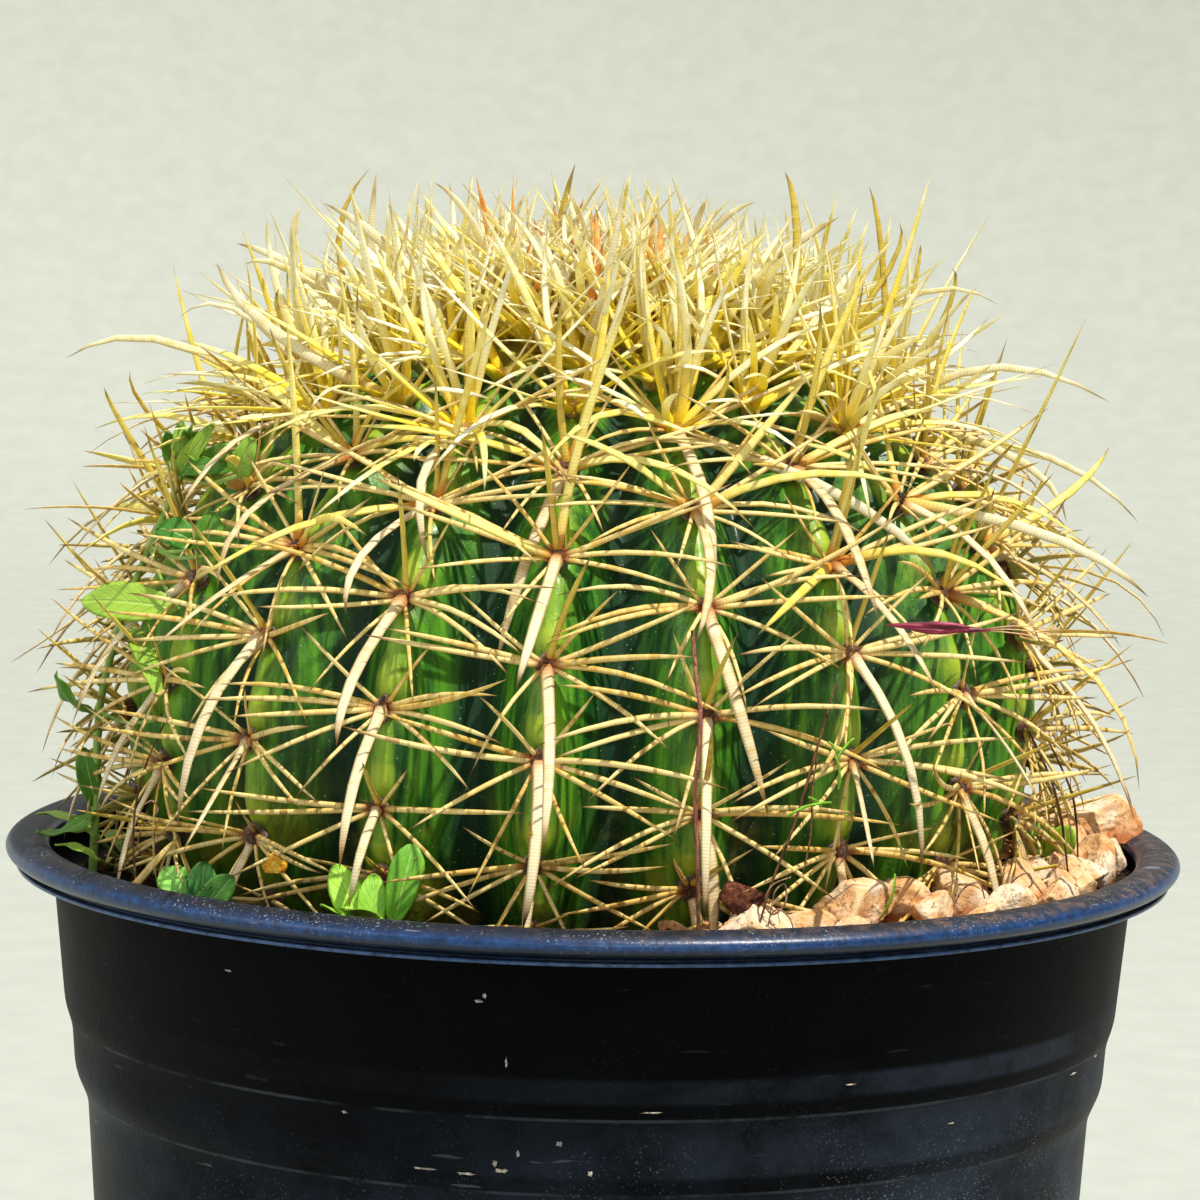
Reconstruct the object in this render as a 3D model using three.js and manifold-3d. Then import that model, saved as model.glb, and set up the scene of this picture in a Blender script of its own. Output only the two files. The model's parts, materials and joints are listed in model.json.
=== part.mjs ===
// A round ribbed cactus in a black plastic nursery pot, with pale gravel and a few small weeds inside
// the rim. Millimetres, +Z up, front towards -Y. The origin is the centre of the pot's base, on the
// surface that it stands on. An azimuth is counted from the front (-Y) round towards +X.

import * as THREE from 'three';
import { mergeVertices } from 'three/addons/utils/BufferGeometryUtils.js';
import Module from 'manifold-3d';

const wasm = await Module();
wasm.setup();

// ---------- Driving dimensions (mm and degrees) ----------

// The pot.
const RIM_DIAMETER = 270;
const POT_HEIGHT = 230;
const BASE_DIAMETER = 210.6;
const WALL = 2.2;
const RIM_ROLL = { width: 10, height: 8, angles: [-65, -30, 0, 35, 70, 105, 145, 180, 215] };
const RIM_LIP = { radius: 132.6, drop: 10.2, thickness: 1.2 };
const NECK = { radius: 123.6, drop: 12 };
const STEPS = [
  { drop: 36, radius: 121.3, lowerDrop: 41, lowerRadius: 119.6 },
  { drop: 51, radius: 118.9, lowerDrop: 58, lowerRadius: 115.9 },
];
const BASE_EDGE = 2.5;
const BASE_RAISE = { radius: 88, height: 5 };
const POT_SIDES = 48;
const DRAIN_SLOTS = { count: 8, width: 16, height: 11, depth: 14, corner: 3 };

// The soil and the bed of gravel on its right side.
const SOIL_DROP = 9.5;
const GRAVEL_RISE = 5.5;
const GRAVEL_FROM = { start: 0, full: 12, end: 154, gone: 174 };
const GAP = 0.35;

// The cactus: a flattened globe of ribs that is 41 mm above the soil at its widest.
const RIBS = 19;
const COLUMNS_PER_RIB = 4;
const BODY = { x: -3, y: 0, aboveRim: 32, radius: 104, rise: 88.5, drop: 90 };
const VALLEY = { depth: 15, fade: 0.7, sharpness: 0.8 };
const RIB_PHASE = -4.7;
const RIB_TWIST = 2.5;
const PLUG_DEPTH = 13.5;
const SOIL_EDGE = 0.5;
const BODY_LATITUDES = [-15, -4, 8, 20, 32, 44, 55, 65, 74, 82];

// Areoles climb each rib from the soil to the crown, and those of every second rib are half a step up.
const AREOLE_START = -23;
const AREOLE_STEPS = [10, 13, 14, 14, 14, 12, 10, 8, 6];
const HALF_STEP = 7;
const CROWN_FROM = 50;
const CROWN_LIMIT = 79;

// Spines: fan is the angle round the areole from straight up, lift is the angle out from the skin.
const FLANK_SPINES = [
  { fan: 180, lift: 44, length: 46, width: 3.2, bend: -0.34 },
  { fan: 84, lift: 24, length: 39, width: 2.0, bend: 0 },
  { fan: 276, lift: 24, length: 39, width: 2.0, bend: 0 },
  { fan: 128, lift: 28, length: 33, width: 1.8, bend: 0 },
  { fan: 232, lift: 28, length: 33, width: 1.8, bend: 0 },
  { fan: 8, lift: 56, length: 33, width: 1.8, bend: 0 },
];
const CROWN_SPINES = [
  { fan: 5, lift: 66, length: 38, width: 2.2, bend: 0 },
  { fan: 180, lift: 50, length: 36, width: 2.4, bend: 0 },
  { fan: 80, lift: 38, length: 36, width: 2.1, bend: 0 },
  { fan: 280, lift: 38, length: 36, width: 2.1, bend: 0 },
];
const SPINE_REACH = 134.6;
const SPINE_TOP = 382;
const SPINE_CLEARANCE = 1.2;
const SPINE_GAP = 0.3;
const SPINE_CHECKS = 14;
const SPINE_TRIES = [1, 1, 1, 0.85, 0.7];
const FAN_SPREAD = 11;
const LIFT_SPREAD = 8;

// The woolly areole that a ring of spines grows from: a low cone sunk in the rib.
const AREOLE = { radius: 2.4, top: 2.2, edge: 0.7, root: 4.5 };

// Gravel stones inside the rim: place round the pot, and length, width and height of each.
const STONES = [
  { azimuth: 97, radius: 113, size: [21, 15, 11], turn: 8, lift: 2 },
  { azimuth: 60.5, radius: 107.5, size: [16, 11, 10], turn: 12, lift: 0 },
  { azimuth: 47, radius: 106.5, size: [13, 12, 11], turn: -20, lift: 0 },
  { azimuth: 31.5, radius: 106, size: [17, 12, 11], turn: 4, lift: 0 },
  { azimuth: 39, radius: 114, size: [11, 9, 9], turn: 30, lift: 0 },
  { azimuth: 50.5, radius: 116.5, size: [13, 7, 8], turn: 0, lift: 0 },
  { azimuth: 59.5, radius: 117.5, size: [14, 6.5, 8], turn: 2, lift: 0 },
  { azimuth: 72, radius: 114.5, size: [14, 10, 9], turn: -12, lift: 0 },
  { azimuth: 84, radius: 115.5, size: [12, 10, 9.5], turn: 20, lift: 0 },
  { azimuth: 93, radius: 102.5, size: [9, 8, 8], turn: 0, lift: 0 },
  { azimuth: 73, radius: 103, size: [10, 8, 7], turn: 35, lift: 0 },
  { azimuth: 17, radius: 116, size: [15, 10, 9], turn: 5, lift: 0 },
  { azimuth: 110.5, radius: 106.5, size: [14, 12, 10], turn: -14, lift: 0 },
  { azimuth: 112, radius: 117, size: [12, 7, 8], turn: 0, lift: 0 },
  { azimuth: 122, radius: 111, size: [15, 13, 10], turn: 22, lift: 0 },
  { azimuth: 134, radius: 108, size: [12, 11, 8], turn: -30, lift: 0 },
  { azimuth: 146, radius: 112, size: [13, 10, 8], turn: 10, lift: 0 },
];
const STONE_FLAT = 0.62;
const STONE_ROUGHNESS = 0.16;

// Weeds. A stem is a list of points that stand in plain holes in the soil; a leaf grows from a point
// of its stem towards its tip, curled by sag, with its widest place at belly (0 to 1).
const LEAF_THICKNESS = 0.9;
const LEAF_SEAT = 1.5;
const LEAF_STATIONS = [0.14, 0.38, 0.62, 0.85];
const LEAF_FOLD = 0.25;
const LEAF_BEAD_STEP = 0.125;
const STEM_TAPER = 0.35;
const WEED_ROOT_DEPTH = 6;
const WEEDS = [
  {
    name: 'tall_weed',
    stem: [[-113, -22, 0], [-112, -24, 20], [-111, -27, 42], [-106, -31, 62], [-99, -34, 80], [-92, -36, 96]],
    stemRadius: 1.1,
    leaves: [
      { at: 5, tip: [-82, -46, 93], width: 11, sag: 5, belly: 0.45 },
      { at: 5, tip: [-101, -33, 109], width: 9, sag: -3, belly: 0.45 },
      { at: 4, tip: [-113, -40, 73], width: 9, sag: -4, belly: 0.5 },
      { at: 4, tip: [-78, -57, 88], width: 7, sag: 4, belly: 0.4 },
      { at: 3, tip: [-92, -74, 50], width: 10, sag: 4, belly: 0.4 },
      { at: 2, tip: [-124, -45, 55], width: 10, sag: -4, belly: 0.4 },
      { at: 1, tip: [-124, -36, 16], width: 8, sag: -3, belly: 0.5 },
    ],
  },
  {
    name: 'round_leaf_seedling',
    stem: [[-44, -104, 0], [-44, -104, 5]],
    stemRadius: 1.2,
    leaves: [
      { at: 1, tip: [-38, -99, 24], width: 7.5, sag: 1.5, belly: 0.6 },
      { at: 1, tip: [-50, -98, 18], width: 8, sag: 1.5, belly: 0.62 },
      { at: 1, tip: [-57, -105, 12], width: 9, sag: 2, belly: 0.6 },
      { at: 1, tip: [-47, -114, 12], width: 9, sag: 2, belly: 0.62 },
    ],
  },
  {
    name: 'lobed_seedling',
    stem: [[-84, -71, 0], [-84, -71, 5]],
    stemRadius: 1.2,
    leaves: [
      { at: 1, tip: [-93, -65, 12], width: 10, sag: 2, belly: 0.6 },
      { at: 1, tip: [-78, -76, 13], width: 10, sag: 2, belly: 0.6 },
      { at: 1, tip: [-88, -79, 10], width: 8, sag: 2, belly: 0.6 },
    ],
  },
  {
    name: 'rim_weed',
    stem: [[-106, 2, 0], [-107, 1, 4]],
    stemRadius: 1.2,
    leaves: [
      { at: 1, tip: [-122.5, -6, 13.5], width: 6, sag: 2, belly: 0.5 },
      { at: 1, tip: [-115, 13, 8], width: 6, sag: 2, belly: 0.5 },
    ],
  },
  {
    name: 'gravel_seedling',
    stem: [[103.5, -10, 0], [104, -11, 6]],
    stemRadius: 1.1,
    leaves: [
      { at: 1, tip: [108.5, -15, 12.5], width: 8, sag: 1.5, belly: 0.55 },
      { at: 1, tip: [101, -1, 13], width: 7, sag: 1.5, belly: 0.55 },
    ],
  },
];

// ---------- Sizes worked out from the driving dimensions ----------

const RIM_RADIUS = RIM_DIAMETER / 2;
const RIM_MID_Z = POT_HEIGHT - RIM_ROLL.height / 2;
const SOIL_Z = RIM_MID_Z - SOIL_DROP;
const EQUATOR_Z = RIM_MID_Z + BODY.aboveRim;
const COLUMNS = RIBS * COLUMNS_PER_RIB;
const FLOOR_Z = BASE_RAISE.height + WALL;
const POLYGON_FIT = Math.cos(Math.PI / POT_SIDES);

// ---------- Helpers ----------

const radians = THREE.MathUtils.degToRad;
const smooth = THREE.MathUtils.smoothstep;
const lerp = THREE.MathUtils.lerp;

// A seeded draw between two values (a small linear congruential generator).
function makeDraw(seed) {
  let state = seed;
  return (low, high) => {
    state = (Math.imul(state, 1664525) + 1013904223) >>> 0;
    return low + (high - low) * (state / 2 ** 32);
  };
}

// The point at an azimuth, a radius from the upright axis through (x, y), and a height.
function around(azimuth, radius, z, x = 0, y = 0) {
  const angle = radians(azimuth);
  return new THREE.Vector3(x + radius * Math.sin(angle), y - radius * Math.cos(angle), z);
}

function middle(points) {
  const sum = new THREE.Vector3();
  points.forEach((point) => sum.add(point));
  return sum.divideScalar(points.length);
}

// A closed skin over rings of equally many points. Each end closes on a point, by default its middle.
function skin(rings, start = middle(rings[0]), end = middle(rings.at(-1))) {
  const count = rings[0].length;
  const points = [start, ...rings.flat(), end];
  const at = (ring, column) => 1 + ring * count + (column % count);
  const faces = [];
  for (let column = 0; column < count; column += 1) {
    faces.push([0, at(0, column + 1), at(0, column)]);
    for (let ring = 0; ring < rings.length - 1; ring += 1) {
      const [a, b] = [at(ring, column), at(ring, column + 1)];
      const [c, d] = [at(ring + 1, column + 1), at(ring + 1, column)];
      faces.push([a, b, c], [a, c, d]);
    }
    const last = rings.length - 1;
    faces.push([at(last, column), at(last, column + 1), points.length - 1]);
  }
  return solid(points, faces);
}

// A solid from points and faces, turned right side out if it was given inside out.
function solid(points, faces) {
  const volume = faces.reduce((sum, [a, b, c]) => {
    const cross = new THREE.Vector3().crossVectors(points[b], points[c]);
    return sum + points[a].dot(cross);
  }, 0);
  const outward = volume > 0 ? faces : faces.map(([a, b, c]) => [a, c, b]);
  const vertProperties = new Float32Array(points.flatMap((point) => point.toArray()));
  const triVerts = new Uint32Array(outward.flat());
  return new wasm.Manifold(new wasm.Mesh({ numProp: 3, vertProperties, triVerts }));
}

// A geometry's corners, each only once, and its faces, without those that shrink to a line at a pole.
function cornersOf(geometry) {
  geometry.deleteAttribute('normal');
  geometry.deleteAttribute('uv');
  const merged = mergeVertices(geometry, 1e-3);
  const position = merged.getAttribute('position');
  const points = [];
  for (let i = 0; i < position.count; i += 1) {
    points.push(new THREE.Vector3().fromBufferAttribute(position, i));
  }
  const faces = [];
  for (let i = 0; i < merged.index.count; i += 3) {
    const face = [merged.index.getX(i), merged.index.getX(i + 1), merged.index.getX(i + 2)];
    if (new Set(face).size === 3) faces.push(face);
  }
  return { points, faces };
}

// All the solids joined into one, in pairs, so that no join is a long one.
function join(solids) {
  let pieces = solids;
  while (pieces.length > 1) {
    const next = [];
    for (let i = 0; i < pieces.length; i += 2) {
      next.push(i + 1 < pieces.length ? pieces[i].add(pieces[i + 1]) : pieces[i]);
    }
    pieces = next;
  }
  return pieces[0];
}

function makeMesh(name, body, material) {
  const { vertProperties, triVerts } = body.getMesh();
  const geometry = new THREE.BufferGeometry();
  geometry.setAttribute('position', new THREE.BufferAttribute(vertProperties, 3));
  geometry.setIndex(new THREE.BufferAttribute(triVerts, 1));
  const mesh = new THREE.Mesh(geometry, material);
  mesh.name = name;
  return mesh;
}

// ---------- Materials ----------

const potPlastic = new THREE.MeshStandardMaterial({ color: 0x14161c, roughness: 0.42, metalness: 0 });
const soilMix = new THREE.MeshStandardMaterial({ color: 0x2b1d14, roughness: 0.95, metalness: 0 });
const cactusSkin = new THREE.MeshStandardMaterial({ color: 0x2f6b1e, roughness: 0.5, metalness: 0 });
const paleStone = new THREE.MeshStandardMaterial({ color: 0xdcb083, roughness: 0.85, metalness: 0 });
const weedGreen = new THREE.MeshStandardMaterial({ color: 0x5f9a2c, roughness: 0.6, metalness: 0 });

// ---------- Pot ----------

// The wall's outer line from the base up to the neck, as [radius, height].
function wallLine() {
  const line = [[BASE_DIAMETER / 2, BASE_EDGE]];
  for (const step of [...STEPS].reverse()) {
    line.push([step.lowerRadius, RIM_MID_Z - step.lowerDrop], [step.radius, RIM_MID_Z - step.drop]);
  }
  line.push([NECK.radius, RIM_MID_Z - NECK.drop]);
  return line;
}

// The rolled rim, from under its outer edge over the top to its inner edge.
function rimLine() {
  const centre = RIM_RADIUS - RIM_ROLL.width / 2;
  const line = [];
  for (const degrees of RIM_ROLL.angles) {
    const radius = centre + (RIM_ROLL.width / 2) * Math.cos(radians(degrees));
    line.push([radius, RIM_MID_Z + (RIM_ROLL.height / 2) * Math.sin(radians(degrees))]);
  }
  return line;
}

// The inner line from the floor up to the rolled rim's inner edge.
function innerLine() {
  const foot = BASE_DIAMETER / 2 - 2 * WALL;
  return [
    [foot, FLOOR_Z],
    [foot + WALL / 2, FLOOR_Z + WALL],
    ...wallLine().slice(1).map(([radius, z]) => [radius - WALL, z]),
    rimLine().at(-1),
  ];
}

function makePot() {
  const profile = [
    [0, BASE_RAISE.height],
    [BASE_RAISE.radius, BASE_RAISE.height],
    [BASE_RAISE.radius + BASE_RAISE.height, 0],
    [BASE_DIAMETER / 2 - BASE_EDGE, 0],
    ...wallLine(),
    [NECK.radius + WALL / 4, POT_HEIGHT - RIM_LIP.drop],
    [RIM_LIP.radius, POT_HEIGHT - RIM_LIP.drop],
    [RIM_LIP.radius, POT_HEIGHT - RIM_LIP.drop + RIM_LIP.thickness],
    ...rimLine().slice(0, -1),
    ...innerLine().reverse(),
    [0, FLOOR_Z],
  ].map(([radius, z]) => new THREE.Vector2(radius, z));
  const lathe = new THREE.LatheGeometry(profile, POT_SIDES).rotateX(Math.PI / 2);
  const { points, faces } = cornersOf(lathe);
  let pot = solid(points, faces);
  for (let i = 0; i < DRAIN_SLOTS.count; i += 1) {
    pot = pot.subtract(drainSlot((360 / DRAIN_SLOTS.count) * (i + 0.5)));
  }
  return makeMesh('pot', pot, potPlastic);
}

// The cutter for one drain slot, across the corner of the wall and the base.
function drainSlot(azimuth) {
  const { width, height, depth, corner } = DRAIN_SLOTS;
  const outer = BASE_DIAMETER / 2 + depth;
  const inner = BASE_DIAMETER / 2 - depth / 2;
  const half = [[width / 2, -1], [width / 2, height - corner], [width / 2 - corner, height]];
  const section = [...half, ...half.map(([side, z]) => [-side, z]).reverse()];
  const ring = (radius) => section.map(([side, z]) => {
    const point = around(azimuth, radius, z);
    return point.add(around(azimuth + 90, side, 0));
  });
  return skin([ring(inner), ring(outer)]);
}

// ---------- Cactus body ----------

const BODY_ROWS = [
  bodyRowAt(SOIL_Z - PLUG_DEPTH),
  bodyRowAt(SOIL_Z - SOIL_EDGE),
  bodyRowAt(SOIL_Z + GRAVEL_RISE),
  ...BODY_LATITUDES.map(radians),
];

// The latitude whose row is at a height below the widest place.
function bodyRowAt(z) {
  return Math.asin((z - EQUATOR_Z) / BODY.drop);
}

function rowHeight(latitude) {
  return EQUATOR_Z + (latitude > 0 ? BODY.rise : BODY.drop) * Math.sin(latitude);
}

// The azimuth of a place counted in ribs from the front rib, at a latitude.
function ribAzimuth(ribs, latitude) {
  return RIB_PHASE + (360 / RIBS) * ribs + RIB_TWIST * Math.sin(latitude);
}

// A point of the skin: on a rib's crest where ribs is whole, and in a valley half way between.
function skinPoint(ribs, latitude) {
  const crest = BODY.radius * Math.cos(latitude);
  const across = 0.5 - 0.5 * Math.cos(2 * Math.PI * ribs);
  const depth = VALLEY.depth * Math.cos(latitude) ** VALLEY.fade * across ** VALLEY.sharpness;
  return around(ribAzimuth(ribs, latitude), crest - depth, rowHeight(latitude), BODY.x, BODY.y);
}

function bodyRing(latitude) {
  return Array.from({ length: COLUMNS }, (_, i) => skinPoint(i / COLUMNS_PER_RIB, latitude));
}

function makeBody() {
  const top = new THREE.Vector3(BODY.x, BODY.y, EQUATOR_Z + BODY.rise);
  return skin(BODY_ROWS.map(bodyRing), undefined, top);
}

// ---------- Soil ----------

function soilHeight(azimuth) {
  const turn = ((azimuth % 360) + 360) % 360;
  const { start, full, end, gone } = GRAVEL_FROM;
  return SOIL_Z + GRAVEL_RISE * smooth(turn, start, full) * (1 - smooth(turn, end, gone));
}

// The body's own ring cut at a height between its rows, moved out by the gap: the edge of its hole.
function holePoint(column, z) {
  const rows = BODY_ROWS.map((latitude) => skinPoint(column / COLUMNS_PER_RIB, latitude));
  const above = Math.max(1, rows.findIndex((point) => point.z > z));
  const below = rows[above - 1];
  const point = below.clone().lerp(rows[above], (z - below.z) / (rows[above].z - below.z));
  const out = new THREE.Vector3(point.x - BODY.x, point.y - BODY.y, 0).setLength(2 * GAP);
  return point.add(out);
}

function makeSoil(weeds) {
  const columns = Array.from({ length: COLUMNS }, (_, i) => i);
  const azimuthOf = (column) => ribAzimuth(column / COLUMNS_PER_RIB, 0);
  const wallRing = (radius, heightOf) => columns.map((column) => {
    const azimuth = azimuthOf(column);
    return around(azimuth, radius * POLYGON_FIT - GAP, heightOf(azimuth));
  });
  const wall = innerLine();
  const [neck, rimEdge] = wall.slice(-2);
  const topRadius = (z) => lerp(neck[0], rimEdge[0], (z - neck[1]) / (rimEdge[1] - neck[1]));
  const rings = wall.slice(0, -1).map(([radius, z]) => wallRing(radius, () => Math.max(z, FLOOR_Z + GAP)));
  rings.push(columns.map((column) => {
    const z = soilHeight(azimuthOf(column));
    return around(azimuthOf(column), topRadius(z) * POLYGON_FIT - GAP, z);
  }));
  const surface = rings.at(-1);
  const holeEdge = columns.map((column) => holePoint(column, soilHeight(azimuthOf(column))));
  const between = columns.map((column) => surface[column].clone().lerp(holeEdge[column], 0.5));
  rings.push(
    between,
    holeEdge,
    columns.map((column) => holePoint(column, rowHeight(BODY_ROWS[1]))),
    columns.map((column) => holePoint(column, rowHeight(BODY_ROWS[0])).setZ(rowHeight(BODY_ROWS[0]) - GAP)),
  );
  let soil = skin(rings);
  for (const weed of weeds) soil = soil.subtract(weed.hole);
  return makeMesh('soil', soil, soilMix);
}

// ---------- Stones ----------

// A gravel stone: a faceted pebble with a flat underside, standing just clear of the bed.
function makeStone(stone, number) {
  const draw = makeDraw(100 + number);
  const { points, faces } = cornersOf(new THREE.IcosahedronGeometry(1, 1));
  const [length, width, height] = stone.size;
  for (const point of points) {
    point.multiplyScalar(1 - draw(0, STONE_ROUGHNESS));
    point.z = Math.max(point.z, -STONE_FLAT);
  }
  const centre = stoneCentre(stone);
  const turn = radians(stone.azimuth + stone.turn);
  for (const point of points) {
    point.multiply(new THREE.Vector3(length / 2, width / 2, height / 2));
    point.applyAxisAngle(new THREE.Vector3(0, 0, 1), turn).add(centre);
  }
  const name = `stone_${String(number).padStart(2, '0')}`;
  return makeMesh(name, solid(points, faces), paleStone);
}

function stoneCentre(stone) {
  const bed = soilHeight(stone.azimuth) + GAP + stone.lift;
  return around(stone.azimuth, stone.radius, bed + (STONE_FLAT * stone.size[2]) / 2);
}

// ---------- Weeds ----------

// A point of a weed: its height is given above the soil below it.
function weedPoint([x, y, up]) {
  const azimuth = THREE.MathUtils.radToDeg(Math.atan2(x, -y));
  return new THREE.Vector3(x, y, soilHeight(azimuth) + up);
}

// A stem of five sides through its points, narrower towards its top.
function stemTube(points, radius, sides = 5) {
  const rings = points.map((point, i) => {
    const size = radius * (1 - STEM_TAPER * (i / (points.length - 1)));
    return Array.from({ length: sides }, (_, side) => {
      const offset = around((360 / sides) * side, size, 0);
      return point.clone().add(offset);
    });
  });
  return skin(rings);
}

// The midrib of a leaf as functions from 0 at its root to 1 at its tip, with its two cross directions.
function leafShape(weed, { at, tip, width, sag, belly }) {
  const joint = weedPoint(weed.stem[at]);
  const below = weedPoint(weed.stem[at - 1]).sub(joint).setLength(LEAF_SEAT);
  const root = joint.add(below);
  const along = weedPoint(tip).sub(root);
  const side = new THREE.Vector3().crossVectors(along, new THREE.Vector3(0, 0, 1)).normalize();
  const face = new THREE.Vector3().crossVectors(side, along).normalize();
  const centre = (t) => root.clone().addScaledVector(along, t)
    .addScaledVector(face, sag * 4 * t * (1 - t));
  const half = (t) => {
    const spread = t < belly ? t / belly : (1 - t) / (1 - belly);
    return (width / 2) * Math.sin((Math.PI / 2) * spread) ** 0.7;
  };
  return { centre, half, side, face };
}

// A leaf: a thin blade, pointed at both ends, thicker along its midrib.
function leafBlade({ centre, half, side, face }) {
  const rings = LEAF_STATIONS.map((t) => {
    const edge = (sign) => centre(t).addScaledVector(side, sign * half(t))
      .addScaledVector(face, half(t) * LEAF_FOLD);
    return [edge(-1), centre(t).addScaledVector(face, LEAF_THICKNESS / 2), edge(1),
      centre(t).addScaledVector(face, -LEAF_THICKNESS / 2)];
  });
  return skin(rings, centre(0), centre(1));
}

// A weed with its root end in the soil, and the plain hole that the root end stands in.
function makeWeed(weed) {
  const points = weed.stem.map(weedPoint);
  const rootEnd = points[0].clone().setZ(points[0].z - WEED_ROOT_DEPTH);
  const tube = stemTube([rootEnd, ...points], weed.stemRadius);
  const blades = weed.leaves.map((leaf) => leafBlade(leafShape(weed, leaf)));
  const holeBottom = rootEnd.clone().setZ(rootEnd.z - GAP);
  const holeTop = points[0].clone().setZ(points[0].z + 1);
  return {
    mesh: makeMesh(weed.name, join([tube, ...blades]), weedGreen),
    hole: stemTube([holeBottom, holeTop], weed.stemRadius * 1.5 + GAP, 6),
  };
}

// ---------- Spines ----------

// Spheres that no spine may enter: the stones, and beads along each weed's stem and leaves.
function keepOuts() {
  const beads = STONES.map((stone) => ({ centre: stoneCentre(stone), radius: stone.size[0] / 2 }));
  for (const weed of WEEDS) {
    const stem = weed.stem.map(weedPoint);
    stem.slice(1).forEach((point, i) => {
      const count = Math.ceil(stem[i].distanceTo(point) / weed.stemRadius);
      for (let step = 0; step <= count; step += 1) {
        beads.push({ centre: stem[i].clone().lerp(point, step / count), radius: weed.stemRadius });
      }
    });
    for (const leaf of weed.leaves) {
      const { centre, half } = leafShape(weed, leaf);
      for (let t = 0; t <= 1; t += LEAF_BEAD_STEP) {
        beads.push({ centre: centre(t), radius: half(t) + LEAF_THICKNESS });
      }
    }
  }
  return beads;
}

// Whether a point is free of the pot, the soil and everything that stands in them.
function isFree(point, beads, margin) {
  const radius = Math.hypot(point.x, point.y);
  if (radius + margin > SPINE_REACH || point.z + margin > SPINE_TOP) return false;
  const withinRim = radius + margin < NECK.radius - WALL;
  if (point.z < POT_HEIGHT + margin && !withinRim) return false;
  if (point.z < SOIL_Z + GRAVEL_RISE + margin) return false;
  return beads.every((bead) => bead.centre.distanceTo(point) > bead.radius + margin);
}

// The frame of an areole: its place, and the ways out of the skin, up the rib and sideways.
function areoleFrame(rib, latitude) {
  const place = skinPoint(rib, latitude);
  const up = skinPoint(rib, latitude + 0.01).sub(skinPoint(rib, latitude - 0.01)).normalize();
  const side = around(ribAzimuth(rib, latitude) + 90, 1, 0);
  const out = new THREE.Vector3().crossVectors(side, up).normalize();
  return { place, up, side, out };
}

// The way along the skin at a fan angle.
function fanWay({ up, side }, fan) {
  return up.clone().multiplyScalar(Math.cos(radians(fan))).addScaledVector(side, Math.sin(radians(fan)));
}

// A spine's centre line as a function from 0 at its areole to 1 at its tip.
function spineLine(frame, { fan, lift, length, bend }) {
  const flat = fanWay(frame, fan);
  const way = flat.clone().multiplyScalar(Math.cos(radians(lift)))
    .addScaledVector(frame.out, Math.sin(radians(lift)));
  const drop = new THREE.Vector3(0, 0, 0.6).addScaledVector(frame.out, 0.8).multiplyScalar(bend);
  const root = frame.place.clone().addScaledVector(flat, AREOLE.radius * 0.6)
    .addScaledVector(frame.out, AREOLE.top * 0.5);
  return (t) => root.clone().addScaledVector(way, length * t)
    .addScaledVector(drop, length * t * t);
}

// The stretches of a spine's line from its root to its tip.
function spineStretches(line, { bend }) {
  const stations = bend === 0 ? [0, 1] : [0, 0.5, 1];
  return stations.slice(1).map((t, i) => new THREE.Line3(line(stations[i]), line(t)));
}

// Whether a spine's stretches cross none of those already placed on other areoles.
function crossesNone(stretches, width, frame, placed) {
  return placed.every((other) => {
    if (other.frame === frame) return true;
    const least = (width + other.width) * 0.5 + SPINE_GAP;
    return other.stretches.every((far) => stretches.every(
      (near) => near.distanceSqToLine3(far) > least * least,
    ));
  });
}

// Places one spine: a few draws round its set direction, the later ones shorter, until one is free.
function placeSpine(areole, spine, beads, placed, draw) {
  const { frame } = areole;
  for (const share of SPINE_TRIES) {
    const varied = { ...spine, fan: spine.fan + draw(-FAN_SPREAD, FAN_SPREAD),
      lift: spine.lift + draw(-LIFT_SPREAD, LIFT_SPREAD), length: spine.length * share * draw(0.93, 1.03) };
    const line = spineLine(frame, varied);
    const margin = SPINE_CLEARANCE + spine.width / 2;
    const steps = Array.from({ length: SPINE_CHECKS }, (_, i) => (i + 1) / (SPINE_CHECKS + 1));
    const free = steps.every((t) => isFree(line(t), beads, margin)) && isFree(line(1), beads, SPINE_GAP);
    const stretches = spineStretches(line, varied);
    if (!free || !crossesNone(stretches, spine.width, frame, placed)) continue;
    placed.push({ frame, width: spine.width, stretches });
    areole.spines.push({ ...varied, line });
    return;
  }
  areole.spines.push({ ...spine, line: null });
}

// Every areole with its frame, from the soil up, rib by rib; rib 0 is the front one.
function placeAreoles() {
  const draw = makeDraw(7);
  const list = [];
  const lastRib = (RIBS - 1) / 2;
  for (let rib = -lastRib; rib <= lastRib; rib += 1) {
    let latitude = AREOLE_START + (rib % 2 === 0 ? 0 : HALF_STEP);
    for (const step of [...AREOLE_STEPS, 0]) {
      if (latitude > CROWN_LIMIT) break;
      const frame = areoleFrame(rib, radians(latitude + draw(-1, 1)));
      const bed = soilHeight(ribAzimuth(rib, radians(latitude)));
      if (frame.place.z > bed + 2 * AREOLE.radius) list.push({ latitude, frame, spines: [] });
      latitude += step;
    }
  }
  return list;
}

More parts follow.
